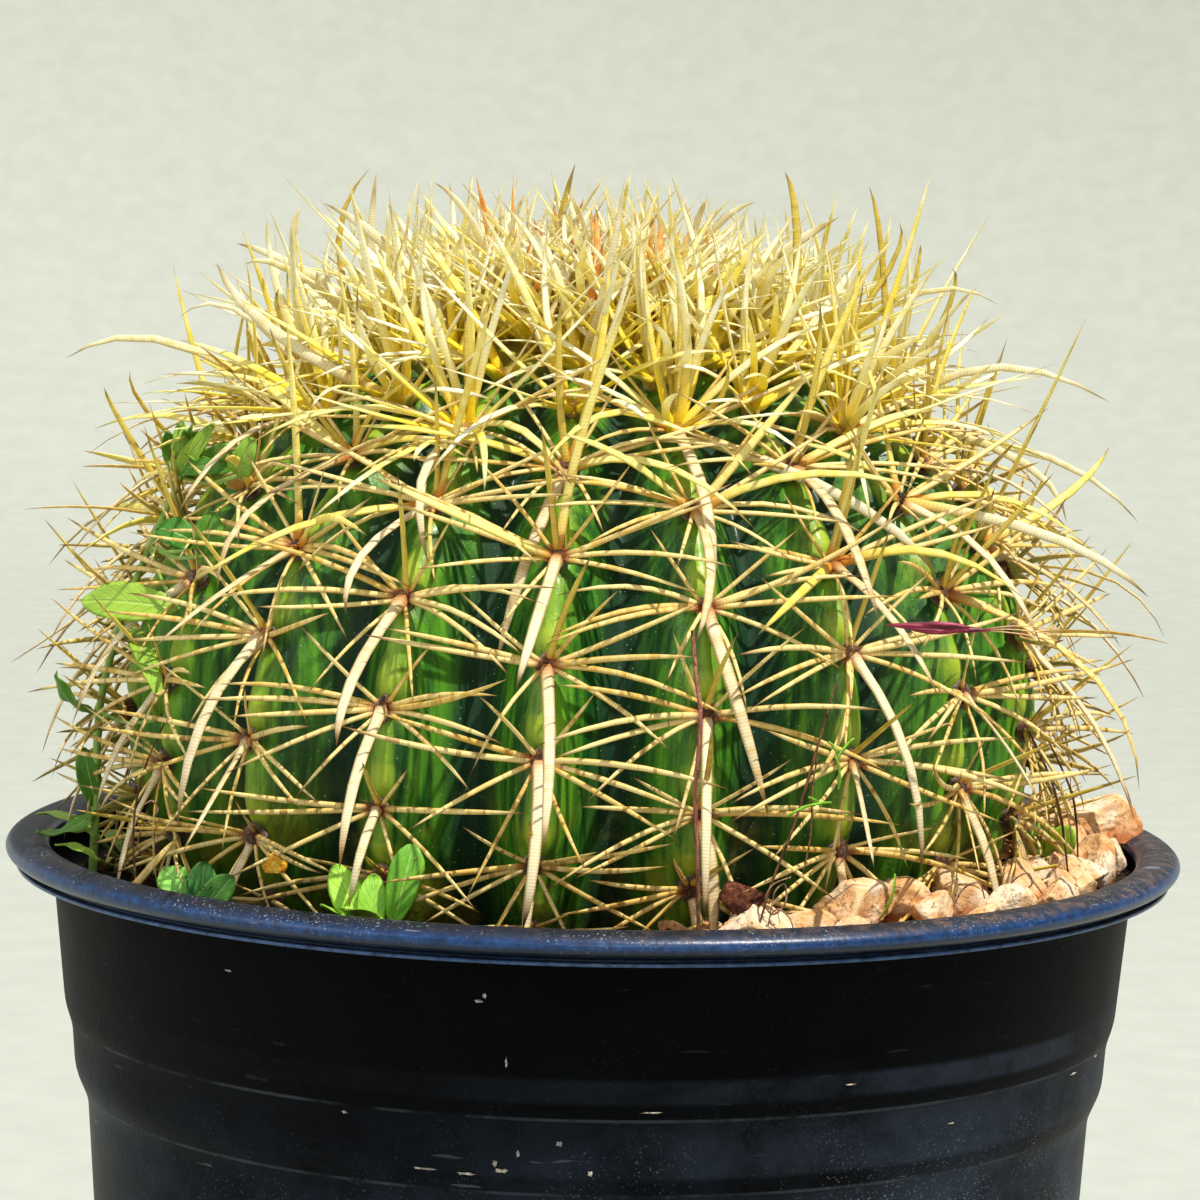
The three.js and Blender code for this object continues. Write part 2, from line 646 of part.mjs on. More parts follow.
// An areole with its spines as one solid: each spine stands on one face of the low cone.
function makeAreole({ frame, spines }) {
  const ordered = [...spines].sort((a, b) => a.fan - b.fan);
  const count = ordered.length;
  const raised = (height) => frame.place.clone().addScaledVector(frame.out, height);
  const points = ordered.map(({ fan }, i) => {
    const before = i > 0 ? ordered[i - 1].fan : ordered.at(-1).fan - 360;
    return raised(AREOLE.edge).addScaledVector(fanWay(frame, (before + fan) / 2), AREOLE.radius);
  });
  const top = points.push(raised(AREOLE.top)) - 1;
  const bottom = points.push(raised(-AREOLE.root)) - 1;
  const faces = [];
  ordered.forEach((spine, i) => {
    const next = (i + 1) % count;
    faces.push([next, i, bottom]);
    if (spine.line === null) {
      faces.push([i, next, top]);
      return;
    }
    let base = [i, next, top];
    if (spine.bend !== 0) {
      const bow = spineSection(spine, frame, 0.5).map((corner) => points.push(corner) - 1);
      base.forEach((corner, side) => {
        const after = (side + 1) % 3;
        faces.push([corner, base[after], bow[after]], [corner, bow[after], bow[side]]);
      });
      base = bow;
    }
    const tip = points.push(spine.line(1)) - 1;
    base.forEach((corner, side) => faces.push([corner, base[(side + 1) % 3], tip]));
  });
  return solid(points, faces);
}

// The three corners of a spine's section: its two edges and its raised back.
function spineSection({ line, width, fan }, frame, t) {
  const centre = line(t);
  const across = fanWay(frame, fan + 90);
  const ahead = line(t + 0.05).sub(centre).normalize();
  const face = new THREE.Vector3().crossVectors(across, ahead).normalize();
  if (face.dot(frame.out) < 0) face.negate();
  const corner = (sideways, raise) => centre.clone().addScaledVector(across, sideways)
    .addScaledVector(face, raise);
  return [corner(-width / 2, 0), corner(width / 2, 0), corner(0, width * 0.4)];
}

// The spines claim their room in turns, the broad lower ones first, and then each areole is built.
function makeAreoles() {
  const draw = makeDraw(19);
  const beads = keepOuts();
  const all = placeAreoles();
  const placed = all.map(({ frame }) => {
    const up = frame.place.clone().addScaledVector(frame.out, AREOLE.top);
    return { frame, width: 2 * AREOLE.radius, stretches: [new THREE.Line3(frame.place, up)] };
  });
  const grow = (areoles, set) => set.forEach((spine) => {
    areoles.forEach((areole) => placeSpine(areole, spine, beads, placed, draw));
  });
  grow(all.filter(({ latitude }) => latitude < CROWN_FROM), FLANK_SPINES);
  grow(all.filter(({ latitude }) => latitude >= CROWN_FROM), CROWN_SPINES);
  return all.map(makeAreole);
}

function makeCactus() {
  return makeMesh('cactus', join([makeBody(), ...makeAreoles()]), cactusSkin);
}

// ---------- The potted cactus ----------

const weeds = WEEDS.map(makeWeed);
const pottedCactus = new THREE.Group();
pottedCactus.add(makePot(), makeSoil(weeds), makeCactus());
pottedCactus.add(...STONES.map((stone, i) => makeStone(stone, i + 1)));
pottedCactus.add(...weeds.map((weed) => weed.mesh));

export default pottedCactus;
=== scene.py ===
import json
import math

import bmesh
import bpy
import numpy as np
from mathutils import Matrix, Vector, noise

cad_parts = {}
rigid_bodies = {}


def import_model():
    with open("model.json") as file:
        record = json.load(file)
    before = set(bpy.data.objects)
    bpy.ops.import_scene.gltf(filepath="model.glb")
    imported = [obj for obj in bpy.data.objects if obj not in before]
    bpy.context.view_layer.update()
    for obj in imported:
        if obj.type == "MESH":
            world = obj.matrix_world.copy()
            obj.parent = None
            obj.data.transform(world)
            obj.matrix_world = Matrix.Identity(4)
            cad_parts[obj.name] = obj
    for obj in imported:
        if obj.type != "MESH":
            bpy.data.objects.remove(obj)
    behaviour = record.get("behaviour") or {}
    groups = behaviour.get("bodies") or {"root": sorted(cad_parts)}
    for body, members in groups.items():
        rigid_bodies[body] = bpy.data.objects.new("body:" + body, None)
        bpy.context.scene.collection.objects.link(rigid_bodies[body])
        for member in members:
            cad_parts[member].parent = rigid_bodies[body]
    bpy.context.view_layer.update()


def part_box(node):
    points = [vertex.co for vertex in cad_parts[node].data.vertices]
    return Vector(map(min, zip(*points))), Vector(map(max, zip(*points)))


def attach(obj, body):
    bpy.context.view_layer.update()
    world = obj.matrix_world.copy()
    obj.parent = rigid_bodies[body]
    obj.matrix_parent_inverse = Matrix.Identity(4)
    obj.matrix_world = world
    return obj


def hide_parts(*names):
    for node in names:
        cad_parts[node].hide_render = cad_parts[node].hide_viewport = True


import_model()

# ---------- The view ----------
# The pot is photographed from the front, a metre away, with a long lens held level with the crown.
# The camera tips down a little and leans clockwise by a degree.

MM = 0.001
POT_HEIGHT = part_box("pot")[1].z
RIM_MIDDLE = POT_HEIGHT - 4 * MM

CAMERA_BACK = 990 * MM
CAMERA_ABOVE_RIM = 155.2 * MM
CAMERA_YAW = 0.03
CAMERA_TIP = 5.7
CAMERA_LEAN = 1.15
LENS_MM = 130
SENSOR_MM = 36

photo_camera = bpy.data.cameras.new("photo_camera")
photo_camera.lens = LENS_MM
photo_camera.sensor_width = SENSOR_MM
camera = bpy.data.objects.new("photo_camera", photo_camera)
bpy.context.scene.collection.objects.link(camera)
bpy.context.scene.camera = camera
camera.matrix_world = (
    Matrix.Translation((0, -CAMERA_BACK, RIM_MIDDLE + CAMERA_ABOVE_RIM))
    @ Matrix.Rotation(math.radians(-CAMERA_YAW), 4, "Z")
    @ Matrix.Rotation(math.radians(90 - CAMERA_TIP), 4, "X")
    @ Matrix.Rotation(math.radians(CAMERA_LEAN), 4, "Z")
)


# ---------- The studio ----------
# A round pale floor that sweeps up into a low pale wall, under an even sky: one high lamp from the
# front right like a late-morning sun, and three large soft panels that draw the gloss of rim and skin.

FLOOR_RADIUS = 3.0
SWEEP_RADIUS = 1.4
WALL_TOP = 2.6
FLOOR_COLUMNS = 96
SKY_COLOUR = "#eef2ec"
SKY_STRENGTH = 0.5
SUN_STRENGTH = 4.6
SUN_SOFTNESS = 0.9
SUN_AZIMUTH = 50
SUN_HEIGHT = 62
SUN_COLOUR = (1.0, 0.96, 0.88)
PANELS = [
    {"name": "left_panel", "azimuth": -62, "height": 30, "distance": 1.5, "size": 0.9, "watts": 5},
    {"name": "back_panel", "azimuth": 165, "height": 55, "distance": 1.6, "size": 0.9, "watts": 6},
    {"name": "front_panel", "azimuth": 4, "height": 26, "distance": 1.9, "size": 0.7, "watts": 5},
]


def colour(web):
    """A web colour such as "#aabbcc" as the linear colour that Blender works in."""
    channels = [int(web[i:i + 2], 16) / 255 for i in (1, 3, 5)]
    return tuple(c / 12.92 if c <= 0.04045 else ((c + 0.055) / 1.055) ** 2.4 for c in channels) + (1,)


def around(azimuth, radius, z, centre=(0, 0)):
    """The point at an azimuth, counted from the front towards +X, a radius and a height."""
    angle = math.radians(azimuth)
    return Vector((centre[0] + radius * math.sin(angle), centre[1] - radius * math.cos(angle), z))


def aim(lamp_data, place):
    """Puts a lamp at a place, facing the middle of the rim's top."""
    lamp = bpy.data.objects.new(lamp_data.name, lamp_data)
    bpy.context.scene.collection.objects.link(lamp)
    lamp.location = place
    lamp.rotation_euler = (Vector((0, 0, POT_HEIGHT)) - place).to_track_quat("-Z", "Y").to_euler()
    return lamp


class Wire:
    """A value that runs between nodes. Arithmetic on it adds the Math nodes that work it out."""

    def __init__(self, tree, socket):
        self.tree = tree
        self.socket = socket

    def __add__(self, other):
        return maths("ADD", self, other)

    def __radd__(self, other):
        return maths("ADD", other, self)

    def __sub__(self, other):
        return maths("SUBTRACT", self, other)

    def __rsub__(self, other):
        return maths("SUBTRACT", other, self)

    def __mul__(self, other):
        return maths("MULTIPLY", self, other)

    def __truediv__(self, other):
        return maths("DIVIDE", self, other)

    def __pow__(self, other):
        return maths("POWER", self, other)


def plug(tree, socket, value):
    """Gives a node's input a wire or a plain value."""
    if isinstance(value, Wire):
        tree.links.new(value.socket, socket)
    else:
        socket.default_value = value


def add_node(tree, kind, inputs, output=0, **settings):
    """Adds a node, its inputs given by name or number, and returns a wire from one of its outputs."""
    made = tree.nodes.new(kind)
    for name, setting in settings.items():
        setattr(made, name, setting)
    for key, value in inputs.items():
        by_name = [s for s in made.inputs if s.enabled and s.name == key]
        plug(tree, made.inputs[key] if isinstance(key, int) else by_name[0], value)
    shown = [s for s in made.outputs if s.enabled]
    found = shown[output] if isinstance(output, int) else next(s for s in shown if s.name == output)
    return Wire(tree, found)


def maths(operation, *values):
    """A Math node, or a Vector Math node where any value is a vector, on wires and plain numbers."""
    tree = next(v.tree for v in values if isinstance(v, Wire))
    vector = any(
        v.socket.type in ("VECTOR", "RGBA") if isinstance(v, Wire) else isinstance(v, tuple)
        for v in values
    )
    if vector:
        values = [v if isinstance(v, (Wire, tuple)) else (v, v, v) for v in values]
    kind = "ShaderNodeVectorMath" if vector else "ShaderNodeMath"
    single = operation in ("DOT_PRODUCT", "LENGTH")
    inputs = dict(enumerate(values))
    return add_node(tree, kind, inputs, "Value" if single else 0, operation=operation)


def grain(place, scale, detail=2.0, roughness=0.5):
    """Even noise from 0 to 1 at a place, with so many lumps to the metre."""
    inputs = {"Vector": place, "Scale": scale, "Detail": detail, "Roughness": roughness}
    return add_node(place.tree, "ShaderNodeTexNoise", inputs)


def shades(value, *stops):
    """A colour ramp: each stop is a position from 0 to 1 and a web colour."""
    ramp = add_node(value.tree, "ShaderNodeValToRGB", {0: value})
    elements = ramp.socket.node.color_ramp.elements
    while len(elements) < len(stops):
        elements.new(1)
    for element, (position, web) in zip(elements, stops):
        element.position = position
        element.color = colour(web)
    return ramp


def new_finish(name, constants):
    """A new material whose Principled shader has these constants on its own sockets."""
    material = bpy.data.materials.new(name)
    material.use_nodes = True
    shader = material.node_tree.nodes["Principled BSDF"]
    for socket, value in constants.items():
        shader.inputs[socket].default_value = value
    return material


def object_place(material):
    """A wire with the Object coordinates, in metres in the row frame."""
    return add_node(material.node_tree, "ShaderNodeTexCoord", {}, "Object")


def painted(material, tint, roughness=None, relief=None, depth=MM):
    """Plugs a colour, a roughness and a relief (0 to 1, that many metres deep) into a material."""
    tree = material.node_tree
    shader = tree.nodes["Principled BSDF"]
    plug(tree, shader.inputs["Base Color"], tint)
    if roughness is not None:
        plug(tree, shader.inputs["Roughness"], roughness)
    if relief is not None:
        inputs = {"Strength": 1.0, "Distance": depth, "Height": relief}
        plug(tree, shader.inputs["Normal"], add_node(tree, "ShaderNodeBump", inputs))
    return material


bpy.context.scene.view_settings.view_transform = "Standard"
sky = bpy.data.worlds.new("pale_sky")
sky.use_nodes = True
sky.node_tree.nodes["Background"].inputs["Color"].default_value = colour(SKY_COLOUR)
sky.node_tree.nodes["Background"].inputs["Strength"].default_value = SKY_STRENGTH
bpy.context.scene.world = sky


def new_object(name, points, faces, **marks):
    """A smooth mesh object at the origin, doubles merged, faces outwards, with a number per point."""
    mesh = bpy.data.meshes.new(name)
    mesh.from_pydata([tuple(p) for p in points], [], faces)
    for key, values in marks.items():
        mesh.attributes.new(key, "FLOAT", "POINT").data.foreach_set("value", values)
    shape = bmesh.new()
    shape.from_mesh(mesh)
    bmesh.ops.remove_doubles(shape, verts=shape.verts, dist=1e-6)
    bmesh.ops.recalc_face_normals(shape, faces=shape.faces)
    shape.to_mesh(mesh)
    shape.free()
    mesh.shade_smooth()
    made = bpy.data.objects.new(name, mesh)
    bpy.context.scene.collection.objects.link(made)
    return made


def ring_faces(rings, start=None, end=None):
    """Points and faces over rings of equally many points. An end is a point, flat (None) or "open"."""
    count = len(rings[0])
    points = [p for ring in rings for p in ring]
    faces = []
    for ring in range(len(rings) - 1):
        for i in range(count):
            j = (i + 1) % count
            low, high = ring * count, (ring + 1) * count
            faces.append((low + i, low + j, high + j, high + i))
    for pole, ring in ((start, 0), (end, len(rings) - 1)):
        loop = [ring * count + i for i in range(count)]
        if pole is None:
            faces.append(tuple(loop))
        if pole is None or pole == "open":
            continue
        points.append(pole)
        faces.extend((loop[i], loop[(i + 1) % count], len(points) - 1) for i in range(count))
    return points, faces


def ring_skin(name, rings, start=None, end=None):
    return new_object(name, *ring_faces(rings, start, end))


def turned(name, line, columns):
    """A surface turned round the upright axis from a line of (radius, height) that starts on it."""
    rings = [[around(360 * i / columns, radius, z) for i in range(columns)] for radius, z in line[1:]]
    return ring_skin(name, rings, Vector((0, 0, line[0][1])), "open")


floor_line = [(0.0, 0.0), (FLOOR_RADIUS / 2, 0.0)]
for degrees in range(0, 91, 6):
    angle = math.radians(degrees)
    floor_line.append((FLOOR_RADIUS + SWEEP_RADIUS * math.sin(angle), SWEEP_RADIUS * (1 - math.cos(angle))))
floor_line.append((FLOOR_RADIUS + SWEEP_RADIUS, WALL_TOP))
floor = turned("floor", floor_line, FLOOR_COLUMNS)
floor_finish = new_finish("pale_floor", {"Roughness": 0.85})
floor_speckle = grain(object_place(floor_finish), 40.0)
painted(floor_finish, shades(floor_speckle, (0.3, "#a7aba4"), (0.7, "#adb1aa")))
floor.data.materials.append(floor_finish)

sun = bpy.data.lights.new("high_lamp", "SUN")
sun.energy = SUN_STRENGTH
sun.angle = math.radians(SUN_SOFTNESS)
sun.color = SUN_COLOUR
sun_way = math.radians(SUN_HEIGHT)
aim(sun, around(SUN_AZIMUTH, math.cos(sun_way), POT_HEIGHT + math.sin(sun_way)))
for panel in PANELS:
    lamp = bpy.data.lights.new(panel["name"], "AREA")
    lamp.size = panel["size"]
    lamp.energy = panel["watts"]
    rise = math.radians(panel["height"])
    level = panel["distance"] * math.cos(rise)
    standing = around(panel["azimuth"], level, POT_HEIGHT + panel["distance"] * math.sin(rise))
    aim(lamp, standing).visible_camera = False


# ---------- The pot ----------
# A black nursery pot, blow-moulded in one piece: a rolled rim with a thin lip under it, a wall that
# steps in twice, and a raised base with eight drain slots. The lowest part is outside the photograph.

WALL = 2.2 * MM
BASE_RADIUS = 105.3 * MM
BASE_EDGE = 2.5 * MM
BASE_RAISE = 5 * MM
BASE_RAISE_RADIUS = 88 * MM
FLOOR_INSIDE = BASE_RAISE + WALL
RIM_LIP_RADIUS = 132.6 * MM
RIM_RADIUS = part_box("pot")[1].x
RIM_ROLL_WIDTH = 10 * MM
RIM_ROLL_HEIGHT = 5.7 * MM
ROLL_MIDDLE = RIM_MIDDLE - 0.2 * MM
RIM_LIP_DROP = 8.5 * MM
RIM_LIP_THICKNESS = 0.8 * MM
RIM_GROOVE_RADIUS = 130.6 * MM
RIM_GROOVE_HEIGHT = 0.6 * MM
ROLL_FROM, ROLL_TO, ROLL_STEP = -65, 215, 10
NECK = (123.6 * MM, RIM_MIDDLE - 12 * MM)
# The wall's steps, from the upper one down: each has its shoulder and the place where it ends.
WALL_STEPS = [
    (121.3 * MM, RIM_MIDDLE - 36 * MM), (119.6 * MM, RIM_MIDDLE - 41 * MM),
    (118.9 * MM, RIM_MIDDLE - 51 * MM), (115.9 * MM, RIM_MIDDLE - 58 * MM),
]
ROUNDING = 2.2 * MM
ROUNDING_STEPS = 4
POT_COLUMNS = 192
DRAIN_SLOTS = 8
SLOT_WIDTH = 16 * MM
SLOT_HEIGHT = 11 * MM
SLOT_REACH = 14 * MM
SLOT_SPRING = 0.6
ABOVE_SLOTS = 16 * MM
OUT_OF_ROUND = 0.35 * MM


def rounded(line, radius):
    """A line of (radius, height) points with each inner corner rounded by a small curve."""
    made = [line[0]]
    for before, corner, after in zip(line, line[1:], line[2:]):
        before, corner, after = (Vector(p) for p in (before, corner, after))
        back, on = before - corner, after - corner
        cut = min(radius, back.length * 0.45, on.length * 0.45)
        start, end = corner + back.normalized() * cut, corner + on.normalized() * cut
        for i in range(ROUNDING_STEPS + 1):
            t = i / ROUNDING_STEPS
            made.append(tuple(start * (1 - t) ** 2 + corner * 2 * t * (1 - t) + end * t * t))
    return made + [line[-1]]


def plain_mesh(host, name):
    """The host with its modifiers applied, as a new plain object; the host is removed."""
    depsgraph = bpy.context.evaluated_depsgraph_get()
    mesh = bpy.data.meshes.new_from_object(host.evaluated_get(depsgraph), depsgraph=depsgraph)
    mesh.name = name
    host.modifiers.clear()
    bpy.data.objects.remove(host)
    made = bpy.data.objects.new(name, mesh)
    bpy.context.scene.collection.objects.link(made)
    return made


def finished(piece, finish, slot, *nodes):
    """Gives a piece its material, says what it rides on and hides the nodes it replaces. The slot is not
    used.
    """
    if not piece.data.materials:
        piece.data.materials.append(finish)
    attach(piece, "root")
    if nodes:
        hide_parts(*nodes)
    return piece


# One more ring just above the slots keeps the long faces of the wall whole.
lowest_radius, lowest_z = WALL_STEPS[-1]
ring_share = (ABOVE_SLOTS - BASE_EDGE) / (lowest_z - BASE_EDGE)
slot_ring = (BASE_RADIUS + (lowest_radius - BASE_RADIUS) * ring_share, ABOVE_SLOTS)
wall_line = [(BASE_RADIUS, BASE_EDGE), slot_ring, *reversed(WALL_STEPS), NECK]
rim_arc = []
for degrees in range(ROLL_FROM, ROLL_TO + 1, ROLL_STEP):
    angle = math.radians(degrees)
    rim_arc.append((
        RIM_RADIUS - RIM_ROLL_WIDTH / 2 + RIM_ROLL_WIDTH / 2 * math.cos(angle),
        ROLL_MIDDLE + RIM_ROLL_HEIGHT / 2 * math.sin(angle),
    ))
inner_line = [
    (BASE_RADIUS - 2 * WALL, FLOOR_INSIDE), (BASE_RADIUS - 1.5 * WALL, FLOOR_INSIDE + WALL),
    *((radius - WALL, z) for radius, z in wall_line[1:]), rim_arc[-1],
]
lip_line = [
    (NECK[0] + WALL / 4, POT_HEIGHT - RIM_LIP_DROP),
    (RIM_LIP_RADIUS, POT_HEIGHT - RIM_LIP_DROP),
    (RIM_LIP_RADIUS, POT_HEIGHT - RIM_LIP_DROP + RIM_LIP_THICKNESS),
    (RIM_GROOVE_RADIUS, POT_HEIGHT - RIM_LIP_DROP + RIM_LIP_THICKNESS),
    (RIM_GROOVE_RADIUS, POT_HEIGHT - RIM_LIP_DROP + RIM_LIP_THICKNESS + RIM_GROOVE_HEIGHT),
]
outer_foot = [
    (0, BASE_RAISE), (BASE_RAISE_RADIUS, BASE_RAISE), (BASE_RAISE_RADIUS + BASE_RAISE, 0),
    (BASE_RADIUS - BASE_EDGE, 0),
]
outer_line = rounded([*outer_foot, *wall_line, *lip_line, rim_arc[0]], ROUNDING)
inside_line = rounded([rim_arc[-1], *inner_line[::-1][1:], (0, FLOOR_INSIDE)], ROUNDING)
pot_profile = [*outer_line, *rim_arc[1:-1], *inside_line]


def out_of_round(azimuth, radius):
    """The radius at an azimuth: the rim of a moulded pot is never quite round."""
    wobble = math.sin(math.radians(2 * azimuth + 40)) * OUT_OF_ROUND * radius / RIM_RADIUS
    return radius - OUT_OF_ROUND + wobble


pot_rings = []
for radius, z in pot_profile[1:-1]:
    ring = []
    for i in range(POT_COLUMNS):
        azimuth = 360 * i / POT_COLUMNS
        ring.append(around(azimuth, out_of_round(azimuth, radius), z))
    pot_rings.append(ring)
pot_blank = ring_skin("pot_blank", pot_rings, Vector((0, 0, BASE_RAISE)), Vector((0, 0, FLOOR_INSIDE)))
slot_cutters = []
for i in range(DRAIN_SLOTS):
    azimuth = 360 / DRAIN_SLOTS * (i + 0.5)
    arch = [(SLOT_WIDTH / 2, -MM)]
    for degrees in range(0, 181, 20):
        angle = math.radians(degrees)
        rise = SLOT_SPRING + (1 - SLOT_SPRING) * math.sin(angle)
        arch.append((SLOT_WIDTH / 2 * math.cos(angle), SLOT_HEIGHT * rise))
    arch.append((-SLOT_WIDTH / 2, -MM))
    ends = []
    for radius in (BASE_RADIUS - SLOT_REACH / 2, BASE_RADIUS + SLOT_REACH):
        ends.append([around(azimuth, radius, z) + around(azimuth + 90, side, 0) for side, z in arch])
    slot_cutters.append(ring_skin(f"slot_cutter_{i}", ends))
cutters = bpy.data.collections.new("slot_cutters")
for cutter in slot_cutters:
    cutters.objects.link(cutter)
cutting = pot_blank.modifiers.new("drain slots", "BOOLEAN")
cutting.operand_type = "COLLECTION"
cutting.collection = cutters
cutting.solver = "EXACT"
pot = plain_mesh(pot_blank, "nursery_pot")
for cutter in slot_cutters:
    bpy.data.objects.remove(cutter)

RIM_PART_FROM = POT_HEIGHT - RIM_LIP_DROP - 0.2 * MM
LOW_WALL = (POT_HEIGHT - 66 * MM, POT_HEIGHT - 38 * MM)
# Millimetres below the middle of the rim: the painted highlight lines along the steps, and the bands between
# them that are painted lighter, partly dust and partly painted sunlight, which fade at their edges.
STEP_HIGHLIGHTS = [38.6, 55.0]
DUST_AND_LIGHT_BANDS = [(30.0, 35.0), (38.8, 51.2), (55.2, 240.0)]
BAND_EDGE = 0.8


def fade(value, low, high):
    """0 where the value is at or below low, 1 at or above high, and smooth between."""
    inputs = {0: value, 1: low, 2: high, 3: 0.0, 4: 1.0}
    return add_node(value.tree, "ShaderNodeMapRange", inputs, interpolation_type="SMOOTHSTEP")


def blended(first, second, share, kind="MIX"):
    """One colour over another by a share from 0 to 1; either may be a web colour."""
    first, second = (colour(c) if isinstance(c, str) else c for c in (first, second))
    inputs = {"Factor": share, "A": first, "B": second}
    tree = share.tree if isinstance(share, Wire) else first.tree
    return add_node(tree, "ShaderNodeMix", inputs, data_type="RGBA", blend_type=kind)


def part_of(vector, axis):
    """A wire with one part of a vector: 0, 1 or 2."""
    return add_node(vector.tree, "ShaderNodeSeparateXYZ", {0: vector}, axis)


def plastic_finish(name, base, haze_tint, gloss, rough):
    """Black plastic under a thin haze of dust.

    Returns its finish, place, upward share, roughness, tint, specks and scratches.
    """
    finish = new_finish(name, {"Specular IOR Level": gloss})
    place = object_place(finish)
    upward = part_of(add_node(finish.node_tree, "ShaderNodeNewGeometry", {}, "Normal"), 2)
    haze = grain(place, 34.0, 6.0, 0.68)
    tint = blended(base, haze_tint, fade(haze, 0.34, 0.7))
    scratch_place = add_node(
        finish.node_tree, "ShaderNodeMapping",
        {"Vector": place, "Rotation": (0.5, 0.3, 0.2), "Scale": (1.0, 1.0, 9.0)},
    )
    scratches = fade(grain(scratch_place, 70.0, 3.0), 0.7, 0.74)
    specks = fade(grain(place, 1800.0, 2.0), 0.62, 0.69) * fade(grain(place, 60.0, 4.0, 0.6), 0.38, 0.6)
    return finish, place, upward, rough + haze * 0.2, tint, specks, scratches


# The rim: its top is dull with dust and grit; its outward face carries a painted blue reflection of the sky.
rim_finish, place, upward, rough, tint, specks, scratches = plastic_finish(
    "dusty_rim_plastic", "#040a17", "#0c1a33", 0.4, 0.22,
)
# Painted sky reflection: blue on the outward face of the roll, not on its top or underside.
painted_sky_sheen = fade(upward, 1.02, 0.45) * fade(upward, -0.75, -0.1)
smears = grain(place, 430.0, 5.0, 0.7)
tint = blended(tint, blended("#0f2a52", "#25508c", fade(smears, 0.3, 0.75)), painted_sky_sheen * 0.75)
dirt = fade(grain(place, 330.0, 5.0, 0.7), 0.45, 0.62) * fade(upward, 0.35, 0.9)
to_right = fade(part_of(place, 0), -40 * MM, 90 * MM)
tint = blended(tint, "#8a6a55", dirt * (0.04 + to_right * 0.24))
tint = blended(tint, "#ced6de", specks * (0.12 + fade(upward, 0.3, 0.9) * 0.26))
# A painted highlight line along the lip.
off_lip_highlight = maths("ABSOLUTE", part_of(place, 2) - (POT_HEIGHT - RIM_LIP_DROP + RIM_LIP_THICKNESS / 2))
tint = blended(tint, "#4a6a98", fade(off_lip_highlight, 0.6 * MM, 0.3 * MM) * fade(smears, 0.3, 0.6) * 0.5)
tint = blended(tint, "#8ba3c4", scratches * 0.35)
relief = grain(place, 900.0, 2.0) * 0.45 + grain(place, 60.0, 3.0) * 0.55
painted(rim_finish, tint, rough + specks * 0.3 + fade(upward, 0.6, 0.95) * 0.25, relief, 0.14 * MM)

# The wall: nearly black and clean high up; splashed and scratched low down. Low down and on its ledges it is
# painted lighter, partly dust and partly painted sheen and highlight.
wall_finish, place, upward, rough, tint, specks, scratches = plastic_finish(
    "black_wall_plastic", "#010103", "#030508", 0.04, 0.42,
)
low_down = 1.0 - fade(part_of(place, 2), *LOW_WALL)
# Lighter low down (a bluish haze) and on upward-facing ledges: partly dust, partly painted sheen and
# highlight.
ledge_dust_and_highlight = fade(upward, 0.1, 0.45) * fade(grain(place, 60.0, 5.0, 0.7), 0.4, 0.62)
tint = blended(tint, "#1b2430", low_down * fade(grain(place, 26.0, 6.0, 0.7), 0.35, 0.7))
tint = blended(tint, "#4d5664", ledge_dust_and_highlight * 0.45)
# The bands beside the steps are painted lighter, partly dust and partly painted sunlight, most on the sunny
# right; between them, at the step shoulders, this lightening is left out.
below_rim = (RIM_MIDDLE - part_of(place, 2)) * 1000.0
sunny = 0.12 + fade(part_of(place, 0), -60 * MM, 110 * MM) * 0.88
sunlit_dust = sunny * fade(grain(place, 24.0, 6.0, 0.75), 0.3, 0.62)
for top, foot in DUST_AND_LIGHT_BANDS:
    band = fade(below_rim, top - BAND_EDGE, top + BAND_EDGE)
    band = band * fade(below_rim, foot + BAND_EDGE, foot - BAND_EDGE)
    tint = blended(tint, "#384150", band * sunlit_dust * 0.4)
# Painted highlight lines along the rounded step edges, broken by noise.
for drop in STEP_HIGHLIGHTS:
    off_line = maths("ABSOLUTE", part_of(place, 2) - (RIM_MIDDLE - drop * MM))
    step_highlight = fade(off_line, 0.5 * MM, 0.15 * MM) * fade(grain(place, 45.0, 5.0, 0.7), 0.36, 0.6)
    tint = blended(tint, "#4a5058", step_highlight * 0.45)
splash = fade(grain(place, 120.0, 6.0, 0.75), 0.7, 0.74) * fade(grain(place, 12.0), 0.47, 0.6)
tint = blended(tint, "#b9bcbc", splash * (0.12 + low_down * 0.6))
# Specks show most low down on the sunny right: dust, brightened there as painted sunlight.
tint = blended(tint, "#a4a9ae", specks * (0.02 + low_down * (0.06 + sunny * 0.3)))
tint = blended(tint, "#6d737c", scratches * (0.06 + low_down * 0.3))
relief = grain(place, 700.0, 2.0) * 0.35 + grain(place, 60.0, 3.0) * 0.65
painted(wall_finish, tint, rough + splash * 0.3 - low_down * 0.08, relief, 0.2 * MM)
pot.data.materials.append(wall_finish)
pot.data.materials.append(rim_finish)
for face in pot.data.polygons:
    face.material_index = 1 if face.center.z > RIM_PART_FROM else 0
finished(pot, wall_finish, "pot_plastic", "pot")


# ---------- The soil ----------
# Dark potting soil fills the pot to just under the rim. On the right it carries a bed of gravel, so
# it stands a little higher there. Its top is crumbly, with loose clods strewn over it.

SOIL_LEVEL = RIM_MIDDLE - 9.5 * MM
GRAVEL_RISE = 5.5 * MM
GRAVEL_FROM, GRAVEL_FULL, GRAVEL_END, GRAVEL_GONE = 0, 12, 154, 174
SOIL_GAP = 0.35 * MM
SOIL_COLUMNS = 288
SOIL_TOP_RADII = [0.2, 0.45, 0.66, *np.linspace(0.74, 0.992, 22)]
SOIL_LUMPS = 1.5 * MM
CLOD_SIZE = 9 * MM
CRUMB_SIZE = 3.5 * MM
IN_FROM_WALL = SOIL_GAP + OUT_OF_ROUND * 2


